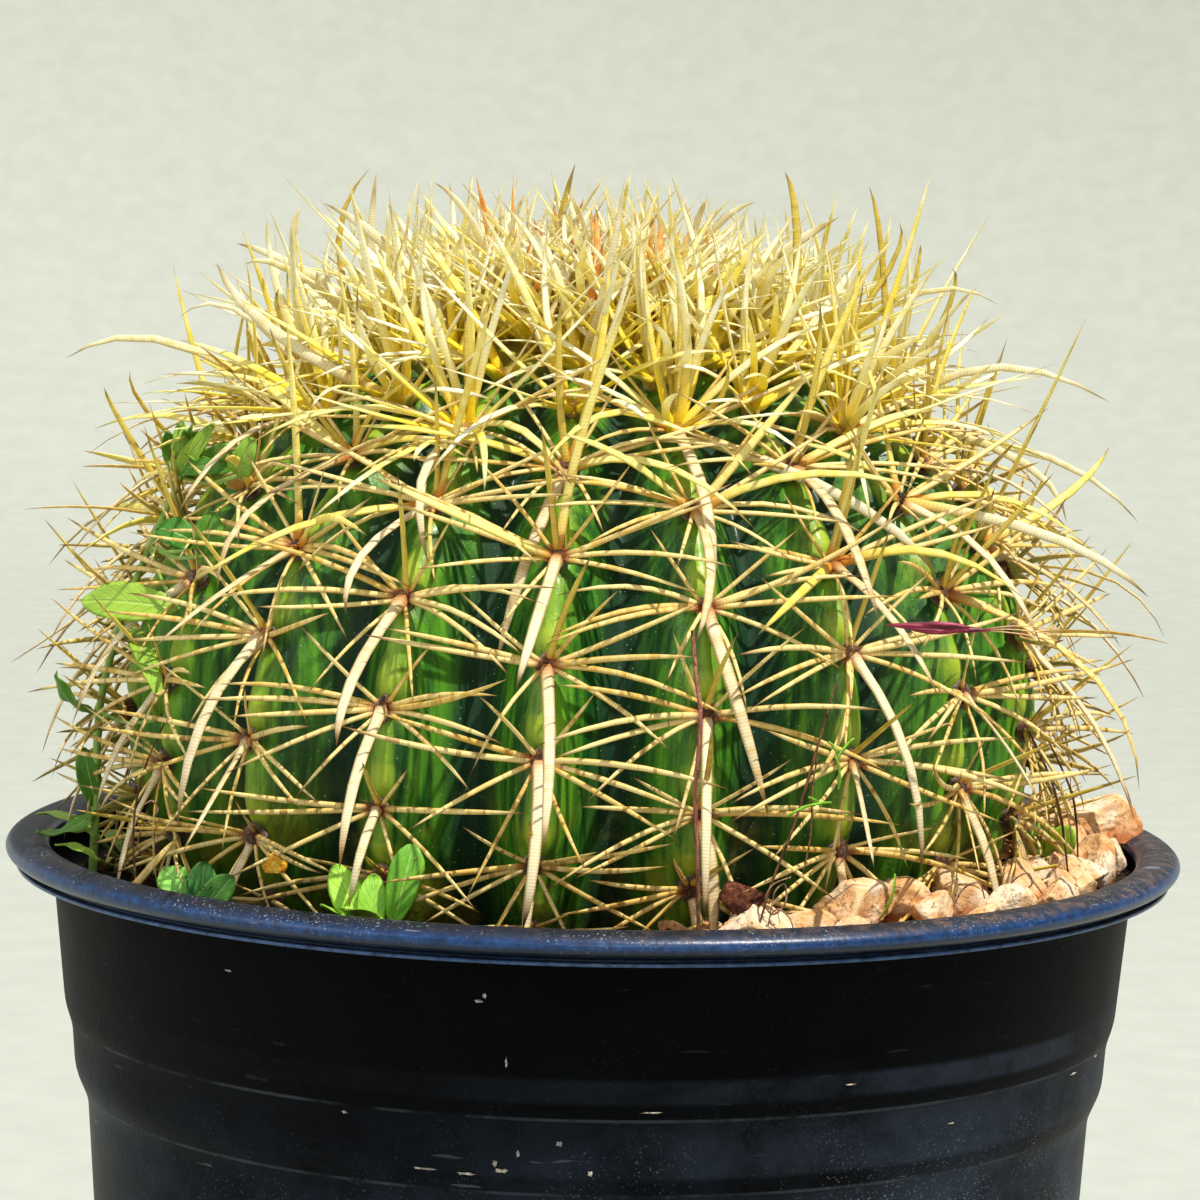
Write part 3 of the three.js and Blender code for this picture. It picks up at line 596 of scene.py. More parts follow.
def smooth(value, low, high):
    """0 at low, 1 at high and smooth between, for plain numbers."""
    t = min(1, max(0, (value - low) / (high - low)))
    return t * t * (3 - 2 * t)


def gravel_share(azimuth):
    """How much of the gravel bed there is at an azimuth, from 0 to 1."""
    turn = azimuth % 360
    return smooth(turn, GRAVEL_FROM, GRAVEL_FULL) * (1 - smooth(turn, GRAVEL_END, GRAVEL_GONE))


def soil_height(azimuth):
    return SOIL_LEVEL + GRAVEL_RISE * gravel_share(azimuth)


def lumpy(point, size, seed=0):
    """Soft noise from -1 to 1 at a point, with lumps of about this size."""
    return noise.noise(Vector(point) / size + Vector((seed * 7.3, seed * 3.1, seed * 5.7)))


(neck_radius, neck_z), (edge_radius, edge_z) = inner_line[-2:]
soil_rings = [
    [around(360 * i / SOIL_COLUMNS, radius - IN_FROM_WALL, max(z, FLOOR_INSIDE + SOIL_GAP))
     for i in range(SOIL_COLUMNS)]
    for radius, z in inner_line[:-1]
]
for share in (1, *reversed(SOIL_TOP_RADII)):
    ring = []
    for i in range(SOIL_COLUMNS):
        azimuth = 360 * i / SOIL_COLUMNS
        level = soil_height(azimuth)
        slope = (level - neck_z) / (edge_z - neck_z)
        wall_radius = neck_radius + (edge_radius - neck_radius) * slope - IN_FROM_WALL
        spot = around(azimuth, wall_radius * share, level)
        rough = lumpy(spot, CLOD_SIZE) + 0.6 * lumpy(spot, CRUMB_SIZE, 1)
        spot.z += SOIL_LUMPS * rough * (share < 1)
        ring.append(spot)
    soil_rings.append(ring)
soil = ring_skin("potting_soil", soil_rings, end=Vector((0, 0, SOIL_LEVEL)))

soil_finish = new_finish("dark_potting_soil", {"Specular IOR Level": 0.25})
place = object_place(soil_finish)
clods = grain(place, 240.0, 6.0, 0.7)
crumb_tone = shades(clods, (0.3, "#0e0805"), (0.5, "#26170e"), (0.68, "#4a3020"), (0.8, "#7c5b41"))
pale_bits = fade(grain(place, 620.0, 1.0), 0.72, 0.76)
painted(soil_finish, blended(crumb_tone, "#a98f72", pale_bits), 0.8 + clods * 0.2, clods, 1.6 * MM)
finished(soil, soil_finish, "soil", "soil")


# ---------- The cactus body ----------
# A flattened globe of 19 ribs, grown as one piece: firm, glossy dark-green skin with sharp valleys,
# and a yellow-green shoulder over each areole. It sits in a plain hole in the soil.

RIBS = 19
RIB_PHASE = -4.7
RIB_TWIST = 2.5
BODY_X = -3 * MM
EQUATOR = RIM_MIDDLE + 32 * MM
BODY_RADIUS = 104 * MM
BODY_RISE = 88.5 * MM
BODY_DROP = 90 * MM
VALLEY_DEPTH = 15 * MM
VALLEY_FADE = 0.7
VALLEY_SHARPNESS = 0.8
ROUND_VALLEY = 0.6
PLEAT_SHARPNESS = 1.3
LOWEST_LATITUDE = -37.6
AREOLE_START = -23
AREOLE_STEPS = [10, 13, 14, 14, 14, 12, 10, 8, 6, 5]
HALF_STEP = 7
CROWN_LIMIT = 85
AREOLE_RADIUS = 2.4 * MM
AREOLE_TOP = 2.2 * MM
BODY_ROWS = 150
COLUMNS_PER_RIB = 24
ABOVE_SOIL = 2 * MM
CORKY_FOOT = (0.228, 0.256)
YELLOW_SKIN = (0.333, 0.343)
SHADED_FOOT = 24 * MM


def skin_point(ribs, latitude):
    """A point of the skin: on a crest where ribs is whole, in a valley half way between."""
    lean = math.radians(latitude)
    across = 0.5 - 0.5 * math.cos(2 * math.pi * ribs)
    depth = VALLEY_DEPTH * math.cos(lean) ** VALLEY_FADE * across ** VALLEY_SHARPNESS
    z = EQUATOR + (BODY_RISE if latitude > 0 else BODY_DROP) * math.sin(lean)
    azimuth = RIB_PHASE + 360 / RIBS * ribs + RIB_TWIST * math.sin(lean)
    return around(azimuth, BODY_RADIUS * math.cos(lean) - depth, z, (BODY_X, 0)), azimuth


def make_draw(seed):
    """A seeded draw between two values, the same one that placed the areoles of the solid."""
    state = seed

    def draw(low, high):
        nonlocal state
        state = (state * 1664525 + 1013904223) % 2 ** 32
        return low + (high - low) * state / 2 ** 32
    return draw


areoles = []
draw = make_draw(7)
for rib in range(-(RIBS // 2), RIBS // 2 + 1):
    latitude = AREOLE_START + (0 if rib % 2 == 0 else HALF_STEP)
    for number, step in enumerate(AREOLE_STEPS):
        if latitude > CROWN_LIMIT:
            break
        height_now = latitude + draw(-1, 1)
        spot, azimuth = skin_point(rib, height_now)
        up = (skin_point(rib, height_now + 0.5)[0] - skin_point(rib, height_now - 0.5)[0]).normalized()
        side = around(azimuth + 90, 1, 0)
        if spot.z > soil_height(azimuth) + ABOVE_SOIL:
            areoles.append({"place": spot, "up": up, "side": side, "out": side.cross(up).normalized(),
                            "latitude": latitude, "rib": rib, "number": number})
        latitude += step


def seed_points(name, spots, **vectors):
    """An object of loose points, with a vector or a number for each of them as attributes."""
    mesh = bpy.data.meshes.new(name)
    mesh.from_pydata([tuple(p) for p in spots], [], [])
    for key, values in vectors.items():
        flat = np.array([tuple(v) if isinstance(v, Vector) else v for v in values], np.float32)
        kind, field = ("FLOAT_VECTOR", "vector") if flat.ndim == 2 else ("FLOAT", "value")
        mesh.attributes.new(key, kind, "POINT").data.foreach_set(field, flat.ravel())
    made = bpy.data.objects.new(name, mesh)
    bpy.context.scene.collection.objects.link(made)
    return made


def areole_points(name, chosen):
    """The chosen areoles as seed points with their ways up the rib, sideways and out of the skin."""
    frames = {key: [a[key] for a in chosen] for key in ("up", "side", "out")}
    return seed_points(name, [a["place"] for a in chosen], **frames)


SOCKETS = {float: "Float", int: "Int", tuple: "Vector", bpy.types.Object: "Object",
           bpy.types.Collection: "Collection", bpy.types.Material: "Material"}
SPARE_MARKS = ("section", "root", "up", "side", "out", "size", "way", "drop", "across", "reach", "broad",
               "flat", "twin", "chance")


def open_tree(name, sizes):
    """A new geometry tree with named inputs; returns it, its geometry wire and a wire for each input."""
    tree = bpy.data.node_groups.new(name, "GeometryNodeTree")
    tree.interface.new_socket("Geometry", in_out="INPUT", socket_type="NodeSocketGeometry")
    tree.interface.new_socket("Geometry", in_out="OUTPUT", socket_type="NodeSocketGeometry")
    for key, value in sizes.items():
        kind = next(word for type_, word in SOCKETS.items() if isinstance(value, type_))
        socket = tree.interface.new_socket(key, in_out="INPUT", socket_type=f"NodeSocket{kind}")
        if kind in ("Float", "Int", "Vector"):
            socket.default_value = value
    inlet = tree.nodes.new("NodeGroupInput")
    given = {s.name: Wire(tree, s) for s in inlet.outputs if s.name}
    return tree, given.pop("Geometry"), given


def close_tree(tree, geometry, material, smooth=True):
    """Ends a tree in Realize Instances and Set Material."""
    real = add_node(tree, "GeometryNodeRealizeInstances", {0: geometry})
    smooth_faces = add_node(tree, "GeometryNodeSetShadeSmooth", {"Geometry": real, "Shade Smooth": smooth})
    inputs = {"Geometry": smooth_faces, "Material": material}
    covered = add_node(tree, "GeometryNodeSetMaterial", inputs)
    outlet = tree.nodes.new("NodeGroupOutput")
    tree.links.new(covered.socket, outlet.inputs[0])


def grown(host, tree, name, sizes):
    """Runs a tree on a host with these sizes and returns a plain mesh, without the spare marks."""
    modifier = host.modifiers.new(tree.name, "NODES")
    modifier.node_group = tree
    for item in tree.interface.items_tree:
        if item.in_out == "INPUT" and item.name in sizes:
            modifier[item.identifier] = sizes[item.name]
    made = plain_mesh(host, name)
    for key in SPARE_MARKS:
        if key in made.data.attributes:
            made.data.attributes.remove(made.data.attributes[key])
    return made


def attribute(tree, name, kind="FLOAT_VECTOR"):
    return add_node(tree, "GeometryNodeInputNamedAttribute", {"Name": name}, data_type=kind)


def store(geometry, name, value, kind="FLOAT"):
    inputs = {"Geometry": geometry, "Name": name, "Value": value}
    return add_node(geometry.tree, "GeometryNodeStoreNamedAttribute", inputs, data_type=kind)


def position(tree):
    return add_node(tree, "GeometryNodeInputPosition", {})


def shape_of(tree, made):
    """The geometry of an object that is one of a tree's inputs."""
    inputs = {"Object": made}
    return add_node(tree, "GeometryNodeObjectInfo", inputs, "Geometry", transform_space="ORIGINAL")


def moved(geometry, spot):
    return add_node(geometry.tree, "GeometryNodeSetPosition", {"Geometry": geometry, "Position": spot})


def vector_of(tree, x, y, z):
    return add_node(tree, "ShaderNodeCombineXYZ", {0: x, 1: y, 2: z})


def mark(material, name):
    """A wire with a number that the piece's mesh carries, for its material."""
    return add_node(material.node_tree, "ShaderNodeAttribute", {}, "Fac", attribute_name=name)


skin_gloss = {"Specular IOR Level": 0.34, "Coat Weight": 0.12, "Coat Roughness": 0.22}
skin_finish = new_finish("cactus_skin", skin_gloss)
place = object_place(skin_finish)
crest = mark(skin_finish, "crest")
near = mark(skin_finish, "near")
stripe_place = place * (1.0, 1.0, 0.07)
stripes = grain(stripe_place, 420.0, 3.0, 0.6)
broad_stripes = grain(stripe_place, 130.0, 2.0)
# Light and dark green streaks down the flanks: partly the skin's own striping, partly painted spine shadows.
flank = blended("#0e4713", "#5b9c22", fade(stripes * 0.6 + broad_stripes * 0.4, 0.38, 0.66))
# Painted shade: the valleys darken to a deep green.
flank = blended("#06331a", flank, fade(crest, 0.0, 0.28))
ridge = blended(flank, "#86ad2a", fade(crest + (stripes - 0.5) * 0.5, 0.62, 1.02) * 0.85)
shoulder = blended(ridge, "#b4c437", fade(near + (stripes - 0.5) * 1.2, 0.1, 1.35) * 0.7)
height = part_of(place, 2)
corky = fade(grain(place, 45.0, 4.0, 0.6), 0.5, 0.64) * (1.0 - fade(height, *CORKY_FOOT))
aged_and_shaded = blended(shoulder, "#a9992c", corky * 0.45)
# Painted shade: darker towards the soil, at the foot of the body.
aged_and_shaded = blended(aged_and_shaded, "#0b1a09", (1.0 - fade(height, SOIL_LEVEL, SOIL_LEVEL + SHADED_FOOT)) * 0.6)
wax_specks = fade(grain(place, 1500.0, 1.0), 0.72, 0.77)
aged_and_shaded = blended(aged_and_shaded, "#cdbb45", fade(height, *YELLOW_SKIN) * 0.8)
tint = blended(aged_and_shaded, "#b9d69a", wax_specks * 0.55)
relief = stripes * 0.5 + grain(place, 1400.0, 2.0) * 0.2 + grain(place, 160.0, 2.0) * 0.3
valley_dull = (1.0 - fade(crest, 0.0, 0.3)) * 0.3
painted(skin_finish, tint, 0.3 + (1.0 - stripes) * 0.25 + valley_dull, relief, 0.5 * MM)

body_sizes = {
    "Ribs": RIBS, "Columns per rib": COLUMNS_PER_RIB, "Rows": BODY_ROWS, "Radius": BODY_RADIUS,
    "Rise": BODY_RISE, "Drop": BODY_DROP, "Valley depth": VALLEY_DEPTH, "Valley fade": VALLEY_FADE,
    "Shoulder height": 0.55 * MM, "Shoulder length": 4.6 * MM, "Shoulder width": 4.2 * MM,
    "Pit depth": 1.6 * MM, "Unevenness": 1.3 * MM,
}
areole_marks = areole_points("areole_marks", areoles)
body_sizes["Areoles"] = areole_marks
body_tree, _, given = open_tree("ribbed_globe", body_sizes)
columns = given["Ribs"] * given["Columns per rib"]
grid = add_node(
    body_tree, "GeometryNodeMeshGrid",
    {"Size X": 1.0, "Size Y": 1.0, "Vertices X": columns + 1, "Vertices Y": given["Rows"] + 1},
)
spot = position(body_tree)
ribs = part_of(spot, 0) * given["Ribs"]
climb = part_of(spot, 1) + 0.5
lean = maths("RADIANS", climb * (90 - LOWEST_LATITUDE) + LOWEST_LATITUDE)
level, upright = maths("COSINE", lean), maths("SINE", lean)
off_crest = maths("ABSOLUTE", maths("SINE", ribs * math.pi))
to_crest = maths("ABSOLUTE", ribs - maths("ROUND", ribs)) * 2.0
valley = off_crest ** (2 * VALLEY_SHARPNESS) * ROUND_VALLEY
valley = valley + to_crest ** PLEAT_SHARPNESS * (1 - ROUND_VALLEY)
shrink = maths("MAXIMUM", level, 0.0) ** given["Valley fade"]
sunk = given["Radius"] * level - given["Valley depth"] * shrink * valley
radius = sunk * maths("GREATER_THAN", climb, 0.5 / BODY_ROWS)
rise = given["Drop"] + (given["Rise"] - given["Drop"]) * maths("GREATER_THAN", lean, 0.0)
turn = maths("RADIANS", ribs * (360 / RIBS) + upright * RIB_TWIST + RIB_PHASE)
globe_spot = vector_of(
    body_tree, radius * maths("SINE", turn) + BODY_X, radius * maths("COSINE", turn) * -1.0,
    upright * rise + EQUATOR,
)
globe = store(grid, "crest", 1.0 - off_crest)
globe = moved(globe, globe_spot)
globe = add_node(body_tree, "GeometryNodeMergeByDistance", {"Geometry": globe, "Distance": 1e-6})
spot = position(body_tree)
marks = shape_of(body_tree, given["Areoles"])
closest = add_node(body_tree, "GeometryNodeSampleNearest", {"Geometry": marks, "Sample Position": spot})


def of_closest(value):
    inputs = {"Geometry": marks, "Value": value, "Index": closest}
    return add_node(body_tree, "GeometryNodeSampleIndex", inputs, data_type="FLOAT_VECTOR")


away = spot - of_closest(spot)
along = maths("DOT_PRODUCT", away, of_closest(attribute(body_tree, "up")))
aside = maths("DOT_PRODUCT", away, of_closest(attribute(body_tree, "side")))


def bump_at(centre, length, width):
    """A smooth hump on the rib, centred so far above the areole."""
    spread = ((along - centre) / length) ** 2.0 + (aside / width) ** 2.0
    return maths("EXPONENT", spread * -1.0)


shoulder_hump = bump_at(given["Shoulder length"] * 1.35, given["Shoulder length"], given["Shoulder width"])
pit = bump_at(0.0, AREOLE_RADIUS * 1.3, AREOLE_RADIUS * 1.3)
uneven = grain(spot, 38.0, 2.0) - 0.5
swell = given["Shoulder height"] * shoulder_hump - given["Pit depth"] * pit + given["Unevenness"] * uneven
normal = add_node(body_tree, "GeometryNodeInputNormal", {})
globe = store(globe, "near", shoulder_hump)
globe = add_node(body_tree, "GeometryNodeSetPosition", {"Geometry": globe, "Offset": normal * swell})
close_tree(body_tree, globe, skin_finish)

body_host = seed_points("body_host", [(0, 0, 0)])
body = grown(body_host, body_tree, "cactus_body", body_sizes)
finished(body, skin_finish, "cactus", "cactus")


# ---------- The areoles ----------
# On each crest a row of small felted cushions, brown and worn low down and golden near the crown.
# Every ring of spines grows out of one.

PAD_SIDES = 8
PAD_RIPPLE = 0.12
PAD_LENGTHENING = 1.15
PAD_SIZES = {"Size": 2.3 * MM}
GOLDEN_FELT = (0.318, 0.335)


def chance(tree, low, high, seed):
    """A random number for each point."""
    inputs = {"Min": low, "Max": high, "Seed": seed}
    return add_node(tree, "FunctionNodeRandomValue", inputs, data_type="FLOAT")


def set_on_areoles(tree, points, shape, size):
    """Stands a shape on each point, its own Z out of the skin and its Y up the rib."""
    bits = add_node(tree, "GeometryNodeInstanceOnPoints", {"Points": points, "Instance": shape})
    real = add_node(tree, "GeometryNodeRealizeInstances", {0: bits})
    section = attribute(tree, "section")
    root = attribute(tree, "root")
    spot = root + (
        attribute(tree, "side") * part_of(section, 0) + attribute(tree, "up") * part_of(section, 1)
        + attribute(tree, "out") * part_of(section, 2)
    ) * size
    return moved(real, spot)


def keep_section(made):
    """Stores a shape's own vertex places as its section attribute."""
    flat = np.zeros(len(made.data.vertices) * 3, np.float32)
    made.data.vertices.foreach_get("co", flat)
    made.data.attributes.new("section", "FLOAT_VECTOR", "POINT").data.foreach_set("vector", flat)
    made.hide_render = True
    return made


pad_rings = []
for low, wide in ((-0.7, 0.9), (0.25, 1.08), (0.6, 0.8), (0.78, 0.4)):
    ring = []
    for i in range(PAD_SIDES):
        turn = 2 * math.pi * i / PAD_SIDES
        reach = wide * (1 + PAD_RIPPLE * (-1) ** i)
        ring.append(Vector((reach * math.cos(turn), PAD_LENGTHENING * reach * math.sin(turn), low)))
    pad_rings.append(ring)
felt_pad = keep_section(ring_skin("felt_pad", pad_rings, end=Vector((0, 0, 0.82))))

felt_finish = new_finish(
    "areole_felt", {"Roughness": 0.95, "Specular IOR Level": 0.15, "Sheen Weight": 0.4}
)
place = object_place(felt_finish)
fluff = grain(place, 1600.0, 3.0, 0.7)
golden = fade(part_of(place, 2), *GOLDEN_FELT)
felt_tint = blended(
    shades(fluff, (0.3, "#1c0e07"), (0.55, "#5a3316"), (0.75, "#a06f33")),
    shades(fluff, (0.3, "#a3741d"), (0.6, "#e0b640")), golden,
)
painted(felt_finish, felt_tint, None, fluff, 0.5 * MM)

PAD_SIZES["Cushion"] = felt_pad
pad_tree, points, given = open_tree("felt_cushions", PAD_SIZES)
pads = store(points, "root", position(pad_tree), "FLOAT_VECTOR")
pads = store(pads, "size", given["Size"] * chance(pad_tree, 0.85, 1.15, 3))
cushion = shape_of(pad_tree, given["Cushion"])
pads = set_on_areoles(pad_tree, pads, cushion, attribute(pad_tree, "size", "FLOAT"))
close_tree(pad_tree, pads, felt_finish)
felt = grown(areole_points("felt_points", areoles), pad_tree, "areole_felt", PAD_SIZES)
finished(felt, felt_finish, "spine")


# ---------- The spines ----------
# Each areole bears a ring of stiff, flattened spines, ringed across like horn and banded with brown:
# straight ones to the sides, one broad blade that curves down, and golden ones that point up and out.

RING_PITCH = 0.72 * MM
BANDED_UP_TO = (0.25, 0.295)


def spine_finish(name, base, middle, pale, tip_shade, banding, base_share, ringed=0.2, clear=0.0):
    """Horn: one colour at its swollen base, another along its blade, and dark at its tip.

    Brown bands cross it, most on the lower spines, and clear is how far light goes into it.
    """
    finish = new_finish(name, {
        "Specular IOR Level": 0.35, "Subsurface Weight": clear, "Subsurface Radius": (1.0, 0.8, 0.4),
        "Subsurface Scale": 2.5 * MM,
    })
    along, run, tone, edge = (mark(finish, key) for key in ("along", "run", "tone", "edge"))
    ring_place = vector_of(finish.node_tree, run * 1000.0, tone * 90.0, 0.0)
    streak = grain(ring_place, 0.42, 2.0)
    blade = blended(middle, pale, fade(streak + tone * 0.4, 0.35, 0.85))
    bands = fade(grain(ring_place, 0.55, 1.0), 0.58, 0.66) * (1.0 - fade(along, 0.72, 0.9))
    low_down = 1.0 - fade(part_of(object_place(finish), 2), *BANDED_UP_TO) * 0.7
    blade = blended(blade, "#8a5f22", bands * low_down * banding)
    blade = blended(blade, middle, fade(edge, 0.55, 1.0) * 0.8)
    dark_tip = fade(along + tone * 0.12, 0.83, 1.06)
    blade = blended(blade, tip_shade, dark_tip)
    swollen = 1.0 - fade(along + (tone - 0.5) * 0.5 * base_share, 0.01, base_share)
    tint = blended(blade, base, swollen)
    rings = maths("SINE", run * (2 * math.pi / RING_PITCH)) * 0.5 + 0.5
    tint = blended(tint, blended(tint, "#a8803e", 1.0, "MULTIPLY"), (1.0 - rings) * ringed)
    return painted(finish, tint, 0.42 + streak * 0.2, rings, 0.02 * MM)


# Each: its colours at the base, along the blade, in its pale streaks and at the tip; how strong the bands
# are; how much of the blade is base; how strong the rings are; and how far light goes in.
side_finish = spine_finish("straw_spine", "#9c5826", "#d6ae4c", "#f2dd98", "#7d5620", 0.75, 0.09, 0.16)
broad_finish = spine_finish("cream_spine", "#b0702e", "#d3b67c", "#eadcb6", "#a67f4a", 0.14, 0.1, 0.26)
golden_finish = spine_finish("golden_spine", "#cf8a22", "#b8982e", "#dcc658", "#574012", 0.2, 0.12, 0.14)
shoulder_finish = spine_finish(
    "shoulder_spine", "#d08a30", "#e2c84a", "#f0e08c", "#8f722c", 0.2, 0.16, 0.14, 0.35,
)
crown_finish = spine_finish("crown_spine", "#f4d428", "#e6d678", "#f4efcc", "#94803c", 0.06, 0.8, 0.12, 0.45)
pale_finish = spine_finish("pale_spine", "#dcc050", "#dccb8c", "#f0e6c4", "#94783a", 0.08, 0.4, 0.22, 0.3)
young_finish = spine_finish("young_spine", "#ee5f1c", "#f39440", "#f6bc70", "#8a4a1e", 0.05, 0.4, 0.2, 0.3)

SPINE_STATIONS = [0.0, 0.035, 0.09, 0.2, 0.36, 0.54, 0.72, 0.87]
SPINE_BREADTH = [1.0, 1.2, 1.04, 1.0, 1.0, 0.94, 0.78, 0.48]
BLADE_SECTION = [(1, 0), (0.55, 0.8), (-0.55, 0.8), (-1, 0), (-0.55, -0.8), (0.55, -0.8)]
REACH_MOST, REACH_LEAST = 136 * MM, 124 * MM
TOP_MOST, TOP_LEAST = 382 * MM, 366 * MM
CLEAR_OF_SOIL = 1.0 * MM
INSIDE_RIM = 121.5 * MM
RIM_CLEARANCE = POT_HEIGHT + 1.5 * MM
SHORTEST_LEFT = 0.25
ROOT_ASIDE = AREOLE_RADIUS * 0.55
ROOT_ABOVE = AREOLE_TOP * 0.25
ROUND_BASE = (0.02, 0.16)
BENT_OUT = 0.8
BENT_UP = (0.0, 0.0, 0.6)
NARROWEST = 0.35
OLD_SPINES = 0.62
OLD_UP_TO = (SOIL_LEVEL + 4 * MM, SOIL_LEVEL + 36 * MM)

blade_rings = []
for t, breadth in zip(SPINE_STATIONS, SPINE_BREADTH):
    half = breadth / 2
    blade_rings.append([Vector((half * x, half * y, t)) for x, y in BLADE_SECTION])
spine_blade = keep_section(ring_skin("spine_blade", blade_rings, end=Vector((0, 0, 1))))

# The sizes of the broad lower spines; the other sets give their own.
FLANK_SPINES = {
    "Pair": 1, "Fan": 180.0, "Fan spread": 16.0, "Lift": 44.0, "Lift spread": 7.0, "Length": 46 * MM,
    "Length spread": 0.1, "Width": 3.3 * MM, "Thickness": 0.3, "Bend": -0.36, "Bend spread": 0.05,
    "Sway": 0.1, "Chance": 0.9, "Seed": 1, "Blade": spine_blade, "Finish": broad_finish,
}


def blades_on(points, given):
    """A blade on each point, from its root, way, drop, across, reach and broad marks."""
    tree = points.tree
    inputs = {"Points": points, "Instance": shape_of(tree, given["Blade"])}
    blades = add_node(tree, "GeometryNodeInstanceOnPoints", inputs)
    blades = add_node(tree, "GeometryNodeRealizeInstances", {0: blades})
    section = attribute(tree, "section")
    t = part_of(section, 2)
    root, way, drop, across = (attribute(tree, key) for key in ("root", "way", "drop", "across"))
    reach, broad = (attribute(tree, key, "FLOAT") for key in ("reach", "broad"))
    ahead = maths("NORMALIZE", way + drop * (t * 2.0))
    face = maths("NORMALIZE", maths("CROSS_PRODUCT", across, ahead))
    thick = 1.0 + (given["Thickness"] - 1.0) * fade(t, *ROUND_BASE)
    spot = (
        root + way * (reach * t) + drop * (reach * t * t)
        + across * (part_of(section, 0) * broad) + face * (part_of(section, 1) * broad * thick)
    )
    blades = store(moved(blades, spot), "along", t)
    blades = store(blades, "edge", maths("ABSOLUTE", part_of(section, 0)) * 2.0)
    return store(blades, "run", reach * t)


spine_tree, points, given = open_tree("grow_spines", FLANK_SPINES)
draws = 0


def drawn(low, high):
    """A random number for each spine, each call with a seed of its own."""
    global draws
    draws += 1
    return chance(spine_tree, low, high, given["Seed"] * 20 + draws)


def from_axis(spot):
    return maths("LENGTH", spot * (1.0, 1.0, 0.0))


def share_up_to(start, end, limit):
    """The share of the way from start to end at which the limit is reached, at most 1."""
    gone = maths("MAXIMUM", maths("ABSOLUTE", end - start), 1e-5)
    free = maths("MAXIMUM", maths("ABSOLUTE", limit - start), 1e-5)
    return maths("MINIMUM", free / gone, 1.0)


def unless(condition, share):
    """The share where the condition (0 or 1) holds, else 1."""
    return 1.0 + (share - 1.0) * condition


twins = add_node(
    spine_tree, "GeometryNodeDuplicateElements", {"Geometry": points, "Amount": given["Pair"]},
    domain="POINT",
)
twin_index = Wire(spine_tree, twins.socket.node.outputs["Duplicate Index"])
twins = store(twins, "twin", 1.0 - twin_index * 2.0)
twin = attribute(spine_tree, "twin", "FLOAT")
fan = maths("RADIANS", twin * given["Fan"] + drawn(-1.0, 1.0) * given["Fan spread"])
lift = maths("RADIANS", given["Lift"] + drawn(-1.0, 1.0) * given["Lift spread"])
length = given["Length"] * (drawn(-1.0, 1.0) * given["Length spread"] + 1.0)
# The lowest rings are the oldest: their spines are short and worn.
height = part_of(position(spine_tree), 2)
length = length * (OLD_SPINES + fade(height, *OLD_UP_TO) * (1 - OLD_SPINES))
up, side, out = (attribute(spine_tree, key) for key in ("up", "side", "out"))
flat = up * maths("COSINE", fan) + side * maths("SINE", fan)
across = side * maths("COSINE", fan) - up * maths("SINE", fan)
way = flat * maths("COSINE", lift) + out * maths("SINE", lift)
bend = given["Bend"] + drawn(-1.0, 1.0) * given["Bend spread"]
drop = (out * BENT_OUT + BENT_UP) * bend + across * (drawn(-1.0, 1.0) * given["Sway"])
root = position(spine_tree) + (flat * ROOT_ASIDE + out * ROOT_ABOVE)
tip = root + (way + drop) * length
root_radius, tip_radius = from_axis(root), from_axis(tip)
root_z, tip_z = part_of(root, 2), part_of(tip, 2)

# Most tips end a little inside the furthest ones, so that the outline stays ragged.
reach_limit = drawn(0.0, 1.0) ** 2.0 * (REACH_MOST - REACH_LEAST) + REACH_LEAST
top_limit = drawn(0.0, 1.0) ** 2.5 * (TOP_MOST - TOP_LEAST) + TOP_LEAST
too_wide = maths("GREATER_THAN", tip_radius, reach_limit)
keep = unless(too_wide, share_up_to(root_radius, tip_radius, reach_limit))
too_high = maths("GREATER_THAN", tip_z, top_limit)
keep = maths("MINIMUM", keep, unless(too_high, share_up_to(root_z, tip_z, top_limit)))
bed = SOIL_LEVEL + CLEAR_OF_SOIL + GRAVEL_RISE * 0.5
too_low = maths("LESS_THAN", tip_z, bed)
keep = maths("MINIMUM", keep, unless(too_low, share_up_to(root_z, tip_z, bed)))
over_rim = maths("GREATER_THAN", tip_radius, INSIDE_RIM) * maths("LESS_THAN", tip_z, RIM_CLEARANCE)
keep = maths("MINIMUM", keep, unless(over_rim, share_up_to(root_radius, tip_radius, INSIDE_RIM)))
length = length * maths("MAXIMUM", keep, SHORTEST_LEFT)
broad = given["Width"] * maths("MINIMUM", length / given["Length"] + NARROWEST, 1.0)

for key, value in (("root", root), ("way", way), ("drop", drop), ("across", across)):
    twins = store(twins, key, value, "FLOAT_VECTOR")
numbers = {"reach": length, "broad": broad, "tone": drawn(0.0, 1.0), "chance": drawn(0.0, 1.0)}
for key, value in numbers.items():
    twins = store(twins, key, value)
missing = maths("GREATER_THAN", attribute(spine_tree, "chance", "FLOAT"), given["Chance"])
twins = add_node(spine_tree, "GeometryNodeDeleteGeometry", {"Geometry": twins, "Selection": missing})
close_tree(spine_tree, blades_on(twins, given), given["Finish"])

